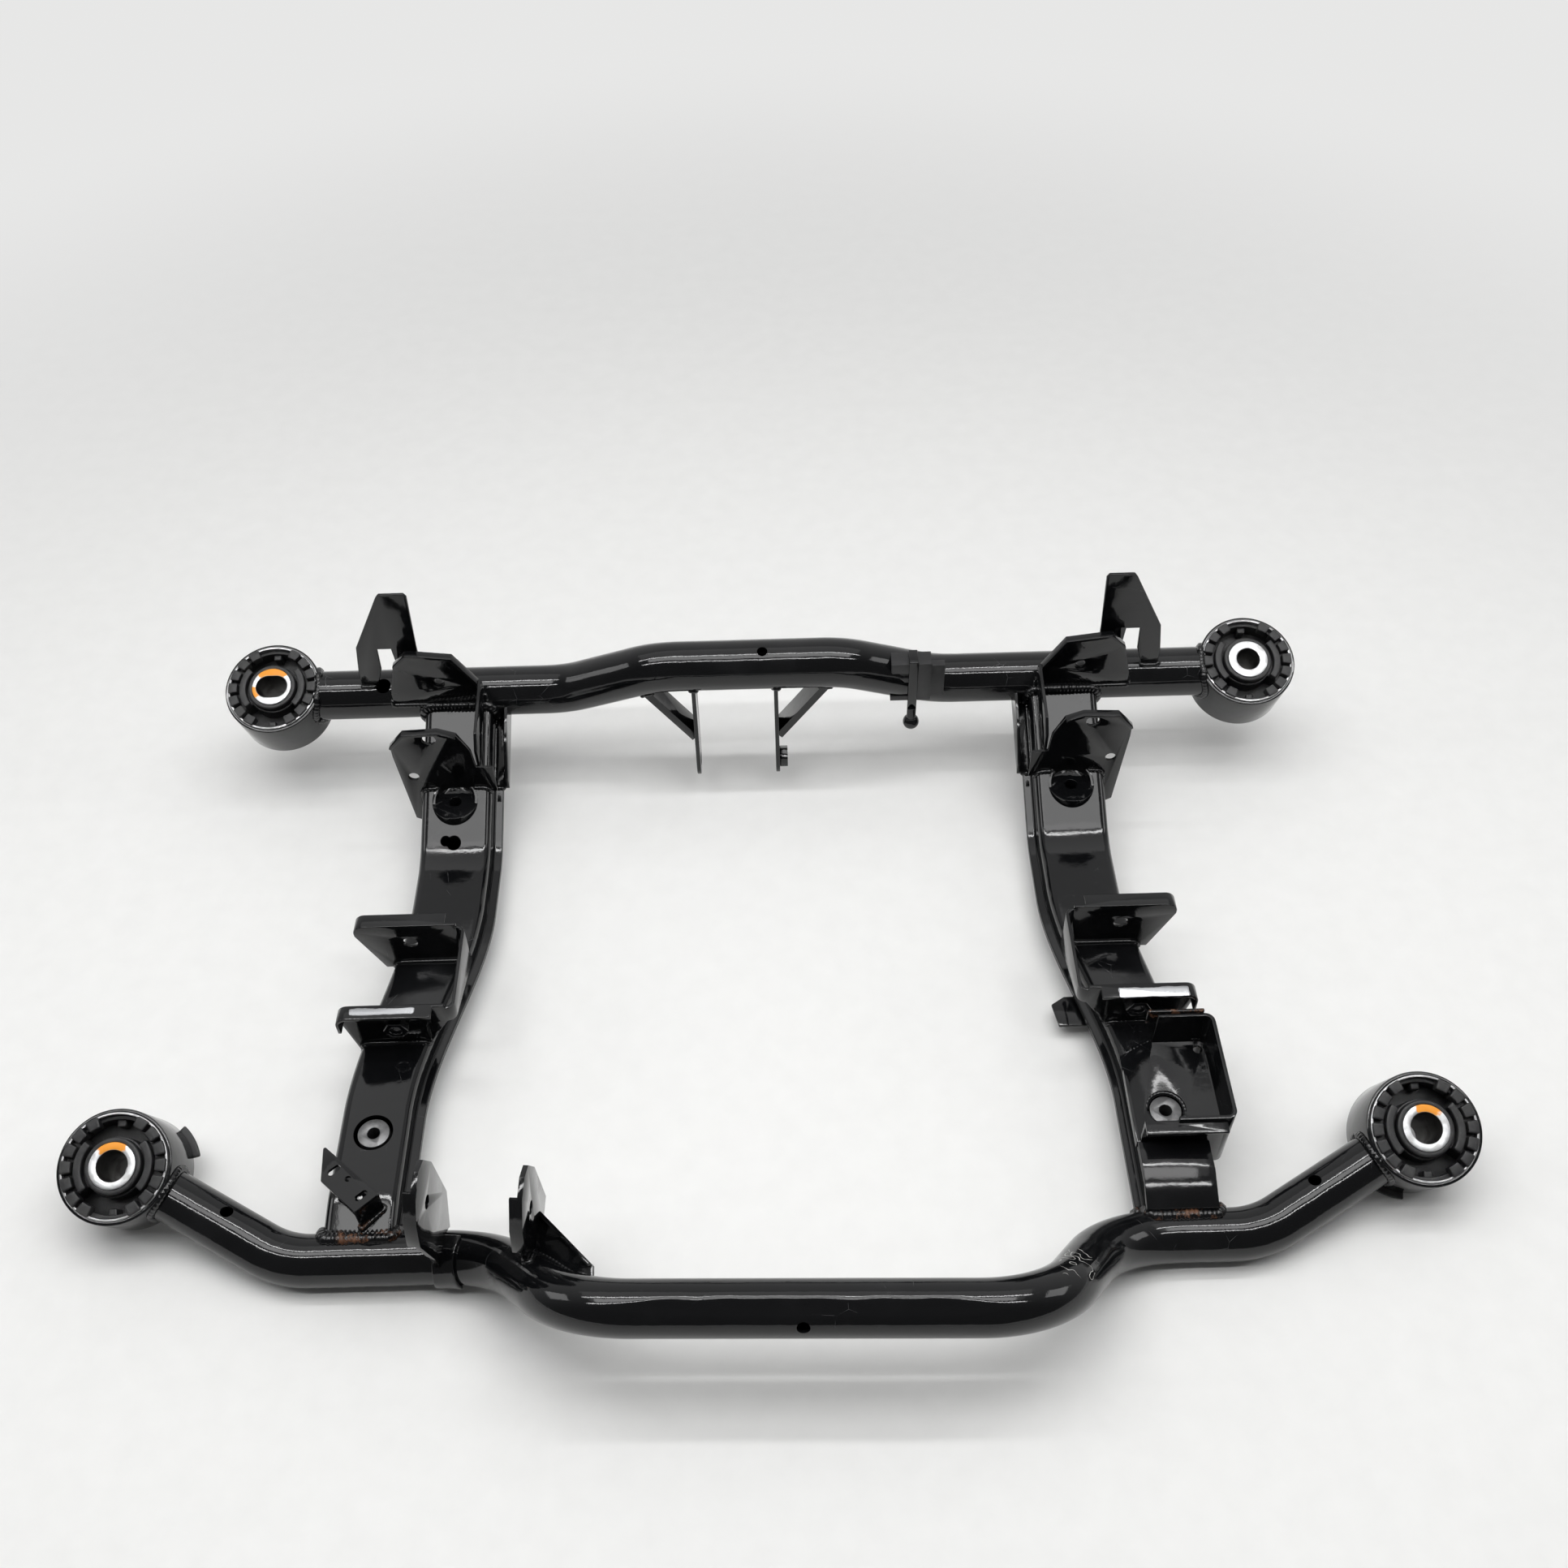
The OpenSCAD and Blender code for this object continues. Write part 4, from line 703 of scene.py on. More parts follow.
NEAR_CORNERS = [bush_heart("front_left"), (-NEAR_BEND_X, NEAR_RUN_Y, NEAR_R),
                (-222, NEAR_RUN_Y, NEAR_R), (-150, -144, 105), (204, -154, 105),
                (272, NEAR_RUN_Y, NEAR_R), (NEAR_BEND_X, NEAR_RUN_Y, NEAR_R),
                bush_heart("front_right")]
FAR_MID = (FAR_RUN_Y - FAR_MID_RISE * math.sin(BUSH_LEAN),
           FAR_RUN_Z + FAR_MID_RISE * math.cos(BUSH_LEAN))
FAR_CORNERS = [(-479, FAR_RUN_Y, FAR_RUN_Z), (-193, FAR_RUN_Y, FAR_RUN_Z), (-101, *FAR_MID),
               (80, *FAR_MID), (172, FAR_RUN_Y, FAR_RUN_Z), (479, FAR_RUN_Y, FAR_RUN_Z)]
print("corners of the paths", len(NEAR_CORNERS), len(FAR_CORNERS))

# %% The two tubes
AROUND_TUBE, AROUND_BUSH = 96, 128
FLAT_LEAN = math.radians(66)
FLAT_FROM, FLAT_TO, FLAT_FADE, FLAT_DEPTH = -125, 175, 60, 1.25
# The flat's depth wavers by these shares, over these lengths in millimetres.
SLOW_WAVER, SLOW_LENGTHS, QUICK_WAVER, QUICK_LENGTH = 0.22, (12.0, 31.0), 0.12, 6.1
PLUG_R, PLUG_FOOT, PLUG_HEAD = 45.5, -70, 10
DRAIN_R, FAR_DRAIN_R = 5, 7.5
# Each hole is a point on the tube's middle line, the way its drill goes, and its radius.
NEAR_HOLES = [((-438, -30, 24), (0, 0, 1), DRAIN_R), ((438, -30, 24), (0, 0, 1), DRAIN_R),
              ((22.5, -149, 105), (0, -0.9, 0.43), DRAIN_R)]
FAR_HOLES = [((-370, FAR_RUN_Y, FAR_RUN_Z), (0, -0.44, 0.9), FAR_DRAIN_R),
             ((3, *FAR_MID), (0, -0.28, 0.96), DRAIN_R)]


def smooth_step(t):
    """0 below 0, 1 above 1, and 3 t^2 - 2 t^3 between."""
    t = np.clip(t, 0, 1)
    return t * t * (3 - 2 * t)


def near_dents(x, turn):
    """The flat on the near tube: a chord cut at its lean, whose depth fades out at both ends of
    the run and wavers as 1 plus a product of two slow sines plus a small quick one."""
    lean = turn - FLAT_LEAN
    run = smooth_step((x - FLAT_FROM) / FLAT_FADE) * smooth_step((FLAT_TO - x) / FLAT_FADE)
    slow = SLOW_WAVER * np.sin(x / SLOW_LENGTHS[0]) * np.sin(x / SLOW_LENGTHS[1])
    waver = 1 + slow + QUICK_WAVER * np.sin(x / QUICK_LENGTH + 1)
    depth = FLAT_DEPTH * run * waver
    chord = (NEAR_R - depth) / np.maximum(np.cos(lean), 0.1)
    return np.maximum(NEAR_R - np.where(np.cos(lean) > 0.5, chord, NEAR_R), 0)


def no_dents(x, turn):
    """The far tube is round all along."""
    return 0 * x * turn


def tube_surface(corners, r, dent):
    """Rings of radius r round the path. dent(x, turn) is the depth pressed in at each point."""
    centre, along = bent_path(corners, TUBE_BEND_R)
    near, up = round_axes(along)
    turn = full_turn(AROUND_TUBE)[None, :]
    radius = (r - dent(centre[:, :1], turn))[..., None]
    cos, sin = np.cos(turn)[..., None], np.sin(turn)[..., None]
    return centre[:, None] + radius * (cos * near[:, None] + sin * up[:, None])


def hollow_tube(name, corners, r, dent):
    """The outer wall, the inner wall and the two end rings between them."""
    outer = tube_surface(corners, r, dent)
    inner = tube_surface(corners, r - TUBE_WALL, dent)
    build = Build()
    build.grid(outer, wrap_v=True).grid(inner, wrap_v=True)
    for end in (0, -1):
        build.grid(np.stack([outer[end], inner[end]]), wrap_v=True)
    return build.mesh(name)


def housing_plug(name):
    """The room of a bush's housing, where its tube ends."""
    foot, head = at_bush(name, [[0, 0, PLUG_FOOT], [0, 0, PLUG_HEAD]])
    return rod(foot, head, PLUG_R, AROUND_BUSH)


def drilled(tube, holes, bushes):
    """A tube with its holes, cut short where it meets the housings of two bushes."""
    cutters = [drill(*hole) for hole in holes] + [housing_plug(name) for name in bushes]
    return cut_away(tube, cutters)


near_tube = drilled(hollow_tube("near_tube", NEAR_CORNERS, NEAR_R, near_dents), NEAR_HOLES,
                    ("front_left", "front_right"))
far_tube = drilled(hollow_tube("far_tube", FAR_CORNERS, FAR_R, no_dents), FAR_HOLES,
                   ("rear_left", "rear_right"))
carriers = {"near_tube": piece(near_tube, NEAR_PAINT, ["front_tube"]),
            "far_tube": piece(far_tube, PAINT, ["rear_tube"])}
print("tubes", len(near_tube.polygons), len(far_tube.polygons), "faces")

# %% [markdown]
# ## Side members
#
# Each side member is a clamshell of two pressings: a roof with one long wall and a lip, and a
# trough below it. A box with bevels would lose the lips and the lap of the sheets. So the section
# is drawn once as a row of corners whose places depend on the distance along the member, and all
# sections are worked out together.

# %% Sections of the side members
SHEET = 3
PRESS_R = 8
EDGE_R, LIP_R, LIP_ROOT_R, SEAM_R, WALL_END_R = 0.5, 1.2, 2.5, 2.0, 1.0
FLANGE_W, FLANGE_Z = 8, 24
LAP_FOOT, LAP_TOP = 8, 20
MEMBER_H, MEMBER_SLOPE, MEMBER_BEND_Y, MEMBER_BEND = 48, 0.48, 334, 18.0
NOSE_DROP, NOSE_FROM, NOSE_RUN = 7, -60, 50
TAPER_FROM, TAPER_RUN = 62, 222
OUT_NEAR, OUT_FAR, IN_NEAR, IN_FAR = 361, 331, 303, 264
FOOT_LAG = 16
MEMBER_FROM, MEMBER_TO = -51.5, 491
STATIONS = np.linspace(MEMBER_FROM, MEMBER_TO, 150)


def tapered(near, far):
    """A width that goes from near to far by a smooth step along the taper."""
    return far + (near - far) * (1 - smooth_step((STATIONS - TAPER_FROM) / TAPER_RUN))


def rise(d):
    """The slope times d after a bend, 0 before it, and a parabola between."""
    bent = (d + MEMBER_BEND) ** 2 / (4 * MEMBER_BEND)
    return MEMBER_SLOPE * np.where(d < -MEMBER_BEND, 0, np.where(d < MEMBER_BEND, bent, d))


OUT, IN = tapered(OUT_NEAR, OUT_FAR), tapered(IN_NEAR, IN_FAR)
NOSE = NOSE_DROP * (1 - smooth_step((STATIONS - NOSE_FROM) / NOSE_RUN))
TOP = MEMBER_H - NOSE + rise(STATIONS - MEMBER_BEND_Y)
FOOT = rise(STATIONS - MEMBER_BEND_Y - FOOT_LAG)
SEAM = FOOT + FLANGE_Z


def section_rows(rows):
    """Rows of (x, z, radius) become sections along the member, as a grid of points."""
    corners = np.stack([np.stack([x + 0 * STATIONS, z], -1) for x, z, _ in rows], 1)
    outline = rounded(corners, [r for _, _, r in rows])
    y = np.broadcast_to(STATIONS[:, None], outline.shape[:2])
    return np.stack([outline[..., 0], y, outline[..., 1]], -1)


UPPER = section_rows([
    (IN - FLANGE_W, SEAM, EDGE_R), (IN - FLANGE_W, SEAM + SHEET, LIP_R),
    (IN, SEAM + SHEET, LIP_ROOT_R), (IN, TOP, PRESS_R), (OUT, TOP, PRESS_R),
    (OUT, FOOT + LAP_FOOT, WALL_END_R), (OUT - SHEET, FOOT + LAP_FOOT, EDGE_R),
    (OUT - SHEET, TOP - SHEET, PRESS_R - SHEET), (IN + SHEET, TOP - SHEET, PRESS_R - SHEET),
    (IN + SHEET, SEAM, SEAM_R)])
LOWER = section_rows([
    (IN - FLANGE_W, SEAM, EDGE_R), (IN + SHEET, SEAM, WALL_END_R),
    (IN + SHEET, FOOT + SHEET, PRESS_R - SHEET), (OUT - 2 * SHEET, FOOT + SHEET, PRESS_R - SHEET),
    (OUT - 2 * SHEET, FOOT + LAP_TOP, EDGE_R), (OUT - SHEET, FOOT + LAP_TOP, EDGE_R),
    (OUT - SHEET, FOOT, PRESS_R), (IN, FOOT, PRESS_R),
    (IN, SEAM - SHEET, SEAM_R), (IN - FLANGE_W, SEAM - SHEET, LIP_R)])
print("sections", UPPER.shape, LOWER.shape)

# %% Side members
SEAT, SEAT_R, SEAT_RISE = (298, 386), 22, 1
COLLAR, COLLAR_R = (331, 40), 16.5
KEYHOLE = (((298, 348), 7), ((306, 350), 5))
# How far each drill reaches below and above the roof.
SEAT_REACH, COLLAR_REACH, KEYHOLE_REACH = (-30, 60), (-6, 10), (-8, 30)


def sided(points, side):
    """The same points on the left, side -1, or on the right, side 1."""
    return points * np.array([side, 1, 1])


seat_z = MEMBER_H + MEMBER_SLOPE * (SEAT[1] - MEMBER_BEND_Y) - SEAT_RISE
for side, word in ((-1, "left"), (1, "right")):
    cuts = [upright_drill(SEAT, seat_z, SEAT_REACH, SEAT_R),
            upright_drill(COLLAR, MEMBER_H, COLLAR_REACH, COLLAR_R)]
    upper = Build().closed(sided(UPPER, side)).mesh(word + "_upper_pressing")
    upper = cut_away(upper, [sided(cut, side) for cut in cuts])
    # The keyhole's two drills overlap, so they cut one after the other, and on the left only.
    for at, r in KEYHOLE if side < 0 else ():
        upper = cut_away(upper, [sided(upright_drill(at, MEMBER_H, KEYHOLE_REACH, r), side)])
    lower = Build().closed(sided(LOWER, side)).mesh(word + "_lower_pressing")
    carriers[word + "_upper"] = piece(upper, PAINT, [word + "_member_upper"])
    carriers[word + "_lower"] = piece(lower, PAINT, [word + "_member_lower"])
    print(word, "member", len(upper.polygons), "faces in the upper pressing")

# %% [markdown]
# ## Bushes
#
# A bush is four rings one inside the other: a painted housing welded to the tube, a thin bare
# shell pressed into it, the rubber bonded to the shell, and a thick turned core. The steel ones
# are outlines turned round the axis, as on a lathe. The rubber could be one turned ring with
# notches cut into it, but moulded blocks have rounded ends, so it is built up from closed blocks:
# a skin, two webs, a boot round the core, two raised arcs, and a rim of blocks.

# %% Bush rings
HOUSING_R, HOUSING_FOOT, HOUSING_TOP = 46.5, -57, -5
SHELL_R, SKIN_R, CORE_R = 43.5, 41.5, 19
BLOCK_END_TURNS = [0, 30, 60]


def ring_outline(r_in, r_out, foot, top, radii):
    """The outline of a ring's wall in radius and height, with rounded corners."""
    return rounded([(r_in, foot), (r_out, foot), (r_out, top), (r_in, top)], radii)


def round_bush(name, outline, t):
    """An outline in radius r and height z, at the turns t: (r cos t, r sin t, z)."""
    r, z = outline[..., 0], outline[..., 1]
    return at_bush(name, np.stack([r * np.cos(t), r * np.sin(t), z + 0 * t], -1))


def turned(name, *sizes):
    """A ring's outline, turned once round the bush axis."""
    return round_bush(name, ring_outline(*sizes)[None], full_turn(AROUND_BUSH)[:, None])


def sector_block(name, r_in, r_out, foot, top, middle, half, edge, steps=10):
    """A block between two radii: its outline goes round by an angle, and is drawn in at both
    ends by the edge radius, so that the ends are rounded like the other edges."""
    mean = (r_in + r_out) / 2
    body = math.radians(half) - edge / mean
    bow = np.radians(BLOCK_END_TURNS)
    ends = body + edge / mean * np.cos(bow)
    turns = np.concatenate([-ends, np.linspace(-body, body, steps), ends[::-1]])
    inset = edge * (1 - np.sin(bow))
    draw = np.concatenate([inset, np.zeros(steps), inset[::-1]])
    base = ring_outline(r_in, r_out, foot, top, [edge] * 4)
    centre = base.mean(0)
    span = np.array([(r_out - r_in) / 2, (top - foot) / 2])
    outline = centre + (base[None] - centre) * (1 - draw[:, None, None] / span)
    return round_bush(name, outline, (turns + math.radians(middle))[:, None])


print("rings at", CORE_R, SKIN_R, SHELL_R, HOUSING_R, "mm")

# %% Rubber of a bush
RIM_BLOCKS, RIM_GAP, RIM_W, RIM_R, RIM_TOP = 18, 3.5, 7.5, 42.8, -1
WEB_TOP, WEB_FOOT, WEB_HALF = -8.5, -53, 39
ARC_IN, ARC_OUT, ARC_HALF = 25.5, 32, 40
VOID_FLOOR, VOID_HALF, STOP_HALF = -24, 56, 6
SKIN_T, SKIN_UP, BOOT_T, BOOT_ROOT_T = 3.5, 0.2, 4, 5.5
FLOOR_T, STOP_IN, STOP_OUT, STOP_DROP = 3, 9, 2, 3
# Edge radii of the rings' four corners and of the blocks, and the steps of each block's turn.
SKIN_RADII, BOOT_RADII = [0.3, 0.3, 0.3, 0.8], [0.3, 1, 1.6, 0.8]
BOOT_ROOT_RADII = [0.3, 0.3, 1, 0.3]
WEB_EDGE, ARC_EDGE, RIM_EDGE, FLOOR_EDGE, STOP_EDGE = 1.5, 1.2, 1.0, 0.8, 1.2
WEB_STEPS, ARC_STEPS, FLOOR_STEPS, STOP_STEPS = 40, 30, 40, 6
# How far a block sinks into its neighbour, so that no gap shows.
SINK = 1
# The turn at which a lug of the rubber shows below the housing, on the two bushes that have one.
LUGS, LUG_HALF, LUG_OUT, LUG_GAP = {"front_left": 31, "front_right": -114}, 17, 5, 0.1
LUG_EDGE, LUG_ROOT_EDGE, LUG_STEPS = 1.2, 0.5, 20


def rubber_mesh(name):
    """All the rubber of one bush, as closed blocks that sink into each other."""
    build = Build().looped(
        turned(name, SKIN_R - SKIN_T, SKIN_R, WEB_FOOT, WEB_TOP + SKIN_UP, SKIN_RADII),
        turned(name, CORE_R, CORE_R + BOOT_T, WEB_FOOT - SKIN_T, RIM_TOP, BOOT_RADII),
        turned(name, CORE_R, CORE_R + BOOT_ROOT_T, WEB_FOOT, WEB_TOP, BOOT_ROOT_RADII))
    inner, outer = CORE_R + SINK, SKIN_R - SINK
    for middle in (0, 180):
        build.closed(
            sector_block(name, inner, outer, WEB_FOOT, WEB_TOP,
                         middle, WEB_HALF, WEB_EDGE, WEB_STEPS),
            sector_block(name, ARC_IN, ARC_OUT, WEB_TOP - SINK, RIM_TOP,
                         middle, ARC_HALF, ARC_EDGE, ARC_STEPS))
    step = 360 / RIM_BLOCKS
    half = step / 2 - math.degrees(math.asin(RIM_GAP / 2 / SKIN_R))
    for turn in [k * step for k in range(RIM_BLOCKS)]:
        # The rim is left out where the voids come up to it.
        if abs(math.sin(math.radians(turn))) < math.cos(math.radians(step)):
            build.closed(sector_block(name, SKIN_R - RIM_W, RIM_R, WEB_TOP - 2 * SINK, RIM_TOP,
                                      turn, half, RIM_EDGE))
    for middle in (90, 270):
        build.closed(
            sector_block(name, inner + SINK, outer, VOID_FLOOR - FLOOR_T, VOID_FLOOR,
                         middle, VOID_HALF, FLOOR_EDGE, FLOOR_STEPS),
            sector_block(name, SKIN_R - STOP_IN, SKIN_R - STOP_OUT, VOID_FLOOR - SINK,
                         WEB_TOP - STOP_DROP, middle, STOP_HALF, STOP_EDGE, STOP_STEPS))
    if name in LUGS:
        inner, around = SKIN_R - SKIN_T, (LUGS[name], LUG_HALF)
        build.closed(
            sector_block(name, inner, HOUSING_R + LUG_OUT, HOUSING_FOOT - SKIN_T,
                         HOUSING_FOOT - LUG_GAP, *around, LUG_EDGE, LUG_STEPS),
            sector_block(name, inner, SKIN_R, HOUSING_FOOT - 2 * SINK, WEB_FOOT + 2 * SINK,
                         *around, LUG_ROOT_EDGE, LUG_STEPS))
    return build.mesh(name + "_rubber")


print("rim of", RIM_BLOCKS, "blocks, less those over the voids")

# %% Bushes
CORE_FOOT, CORE_CHAMFER, SHELL_UP = -60, 0.6, 1.5
HOUSING_RADII, SHELL_RADII = [0.4, 0.9, 0.9, 0.4], [0.3, 0.5, 0.6, 0.4]
# How sharply the two halves of a slot's ring part.
SLOT_PART = 6
OUTER_ROWS = ((0, -59.4), (0, -0.8), (0.25, -0.25), (0.8, 0))
BORE_ROWS = ((1.2, 0), (0.35, -0.35), (0, -1.2), (0, -59.4), (CORE_CHAMFER, CORE_FOOT))


def core_mesh(name):
    """The core: a turned ring with chamfered mouths, or the same ring round a slot. A slot's ring
    is a circle whose x moves out by slot * tanh(SLOT_PART * cos t)."""
    t = full_turn(AROUND_BUSH)

    def row(r, z, slot=0.0):
        x = r * np.cos(t) + slot * np.tanh(SLOT_PART * np.cos(t))
        return np.stack([x, r * np.sin(t), z + 0 * t], -1)

    rows = [row(CORE_R - inset, z) for inset, z in OUTER_ROWS]
    rows += [row(BORES[name] + flare, z, SLOTS[name]) for flare, z in BORE_ROWS]
    rows.append(row(CORE_R - CORE_CHAMFER, CORE_FOOT))
    return Build().looped(at_bush(name, np.array(rows))).mesh(name + "_core")


for name in BUSHES:
    housing = turned(name, SHELL_R, HOUSING_R, HOUSING_FOOT, HOUSING_TOP, HOUSING_RADII)
    shell = turned(name, SKIN_R, SHELL_R, HOUSING_FOOT + SHELL_UP, HOUSING_TOP + SHELL_UP,
                   SHELL_RADII)
    carriers[name] = piece(Build().looped(housing).mesh(name + "_housing"), PAINT,
                           [name + "_bush_housing"])
    piece(Build().looped(shell).mesh(name + "_shell"), SHELL_STEEL,
          [name + "_bush_shell"])
    piece(rubber_mesh(name), RUBBER, [name + "_bush_rubber"])
    piece(core_mesh(name), CORE_STEEL[name], [name + "_bush_core"])
print("bushes", list(BUSHES))

# %% [markdown]
# ## Sheet brackets with soft edges
#
# The brackets are sheared and folded from 3 mm sheet. Their shapes in the CAD part are right, but
# its edges are perfectly sharp, and no sheared or folded sheet has such edges. Modelling them
# again would only risk their shapes. So each one is copied, its loose triangles are merged into
# flat faces, and a Bevel modifier rounds every edge, so that it catches a thin line of light.

# %% Sheet brackets with soft edges
FLAT_ANGLE, FOLD_ANGLE = math.radians(1.5), math.radians(30)
SHEET_MERGED, SHEET_EDGE, TURNED_EDGE = 0.005, 0.8, 0.6


def merge_flats(work):
    """Merges doubles, and the triangles of each flat face."""
    bmesh.ops.remove_doubles(work, verts=work.verts, dist=SHEET_MERGED * MM)
    bmesh.ops.dissolve_limit(work, angle_limit=FLAT_ANGLE, verts=work.verts, edges=work.edges)


def softened(name, material, width=SHEET_EDGE):
    """A copy of a CAD node with rounded edges, which stands for it."""
    mesh = nodes[name].data.copy()
    mesh.name = name + "_soft"
    in_bmesh(mesh, merge_flats)
    for attribute in [a.name for a in mesh.attributes if a.name.startswith("custom_normal")]:
        mesh.attributes.remove(mesh.attributes[attribute])
    soft = modified(mesh, "BEVEL", width=width * MM, segments=2, limit_method="ANGLE",
                    angle_limit=FOLD_ANGLE, use_clamp_overlap=True)
    return piece(soft, material, [name], sharp=50)


SHEET_NODES = ["tube_band", "left_link_bracket", "right_link_bracket",
               "left_arm_bracket_rear", "right_arm_bracket_rear",
               "left_arm_bracket_front", "right_arm_bracket_front",
               "left_arm_brace", "right_arm_brace", "arm_bolt_nuts", "link_bolt_nuts",
               "left_upright", "right_upright", "middle_ear_left", "middle_ear_right",
               "middle_gusset_left", "middle_gusset_right", "middle_nut", "clip_strap", "ball_stud",
               "front_ear_left", "front_ear_right", "front_gusset", "front_ear_nut",
               "right_box_bracket", "right_box_strip", "right_saddle", "right_tab",
               "left_seat_boss", "right_seat_boss"]
# The link brackets take the finish with painted highlights on their folds.
FINISHES = {"left_link_bracket": WORN_HIGHLIT_LINKS, "right_link_bracket": WORN_HIGHLIT_LINKS,
            "right_box_strip": RUSTY_STRIP}
stood = {name: softened(name, FINISHES.get(name, PAINT)) for name in SHEET_NODES}
print("softened", len(stood), "nodes")

# %% [markdown]
# ## The slotted plate
#
# A small plate with two slots and a hole stands on the left member. Its slots run close to its
# edge, where a Bevel modifier tears the thin rim, so this one is drawn afresh: a prism with its
# edges drawn in, cut by three prisms, on a folded leg.

# %% The slotted plate
SLOTTED_Z, SLOTTED_FOOT = 70, 42
SLOTTED_CORNERS = np.array([(-363.8, 17.0), (-360.6, -15.3), (-328.7, -44.0), (-312.0, -28.7)])
SLOTTED_SLOTS = ((-351.2, -6.2), (-326.0, -29.4))
SLOTTED_HOLE, SLOTTED_HOLE_R = (-338.8, -14.3), 2.6
SLOTTED_TURN, SLOTTED_HALF, SLOTTED_R = math.radians(42), 3.0, 2.7
SLOTTED_CORNER_R, SLOTTED_INSET, SLOTTED_EDGE = 1.5, 0.02, 0.5
CUT_OVER, AROUND_SLOT = 5, 32


def prism(outline, rows):
    """A closed outline (n, 2) stacked through rows of (inset share, height)."""
    outline = np.asarray(outline, float)
    centre = outline.mean(0)
    return np.array([np.column_stack([centre + (outline - centre) * (1 - inset),
                                      np.full(len(outline), z)]) for inset, z in rows])


def slotted_plate():
    """The plate with two slots and a hole, on its leg."""
    top, foot = SLOTTED_Z, SLOTTED_Z - SHEET
    rows = [(SLOTTED_INSET, foot), (0, foot + SLOTTED_EDGE),
            (0, top - SLOTTED_EDGE), (SLOTTED_INSET, top)]
    through = [(0, foot - CUT_OVER), (0, top + CUT_OVER)]
    outline = rounded(SLOTTED_CORNERS, [SLOTTED_CORNER_R] * 4)
    plate = Build().closed(prism(outline, rows)).mesh("slotted")
    t = full_turn(AROUND_SLOT)
    x = SLOTTED_R * np.cos(t) + SLOTTED_HALF * np.sign(np.cos(t + 1e-6))
    cos, sin = math.cos(SLOTTED_TURN), math.sin(SLOTTED_TURN)
    slot = np.stack([x, SLOTTED_R * np.sin(t)], 1) @ np.array([[cos, sin], [-sin, cos]])
    cuts = [prism(slot + at, through) for at in SLOTTED_SLOTS]
    cuts.append(upright_drill(SLOTTED_HOLE, foot, (-CUT_OVER, SHEET + CUT_OVER), SLOTTED_HOLE_R))
    mesh = cut_away(plate, cuts)
    c, d = SLOTTED_CORNERS[2:]
    into = unit(np.array([c[1] - d[1], d[0] - c[0]])) * SHEET
    leg = prism([c, d, d + into, c + into], [(0, SLOTTED_FOOT), (0, top - SINK)])
    leg_mesh = Build().closed(leg).mesh("leg")
    in_bmesh(mesh, lambda work: work.from_mesh(leg_mesh))
    mesh.name = "slotted_plate"
    return piece(mesh, PAINT, ["left_slotted_bracket"])


stood["left_slotted_bracket"] = slotted_plate()
print("slotted plate", len(stood["left_slotted_bracket"].data.polygons), "faces")

# %% [markdown]
# ## Clip and seat collars
#
# The line clip on the far tube is moulded and the two collars in the members are turned, so both
# have rounded edges as well. They take the same softening in their own finishes, and nothing is
# welded to them, so they aren't kept for the beads.

# %% Clip and seat collars
softened("clip_clamp", PLASTIC)
for name in ("left_seat_collar", "right_seat_collar"):
    softened(name, COLLAR_STEEL, TURNED_EDGE)
print("softened the clip and the collars")

# %% [markdown]
# ## Weld beads
#
# A weld runs where one piece stands on another. The beads could be drawn along curves by hand, but
# they would miss the seam wherever it bends over a tube. To find that line, the standing piece is
# grown by a little along its normals, and the grown surface is cut with the surface that carries
# it. Each pair of triangles that cross gives a short segment, and the segments join into runs. A
# bead is a thin rod along such a run, whose radius swells and sinks as the torch paused.

# %% Seam between two pieces
BEAD_GROW = 0.9
FLAT_CROSS, SIDE_SLACK = 1e-18, 1e-16


def triangles(mesh, grow=0.0):
    """The mesh's points (n, 3), grown along the vertex normals, and its triangles (m, 3)."""
    mesh.calc_loop_triangles()
    points, normals = np.empty(len(mesh.vertices) * 3), np.empty(len(mesh.vertices) * 3)
    mesh.vertices.foreach_get("co", points)
    mesh.vertices.foreach_get("normal", normals)
    index = np.empty(len(mesh.loop_triangles) * 3, int)
    mesh.loop_triangles.foreach_get("vertices", index)
    return (points + normals * grow).reshape(-1, 3), index.reshape(-1, 3)


def crossings(tri, other):
    """The three edges of each triangle in tri against the triangle beside it in other.

    An edge from p to q crosses the plane with normal n through a at the share
    n . (a - p) / n . (q - p), and the crossing counts if it lies inside all three sides."""
    a, b, c = other[:, None, 0], other[:, None, 1], other[:, None, 2]
    n = np.cross(b - a, c - a)
    start, end = tri, np.roll(tri, -1, axis=1)
    across = (n * (end - start)).sum(-1)
    crosses = np.abs(across) >= FLAT_CROSS
    share = (n * (a - start)).sum(-1) / np.where(crosses, across, 1.0)
    point = start + share[..., None] * (end - start)
    within = (share >= 0) & (share <= 1) & crosses
    for p, q in ((a, b), (b, c), (c, a)):
        within &= (np.cross(q - p, point - p) * n).sum(-1) >= -SIDE_SLACK
    return point, within


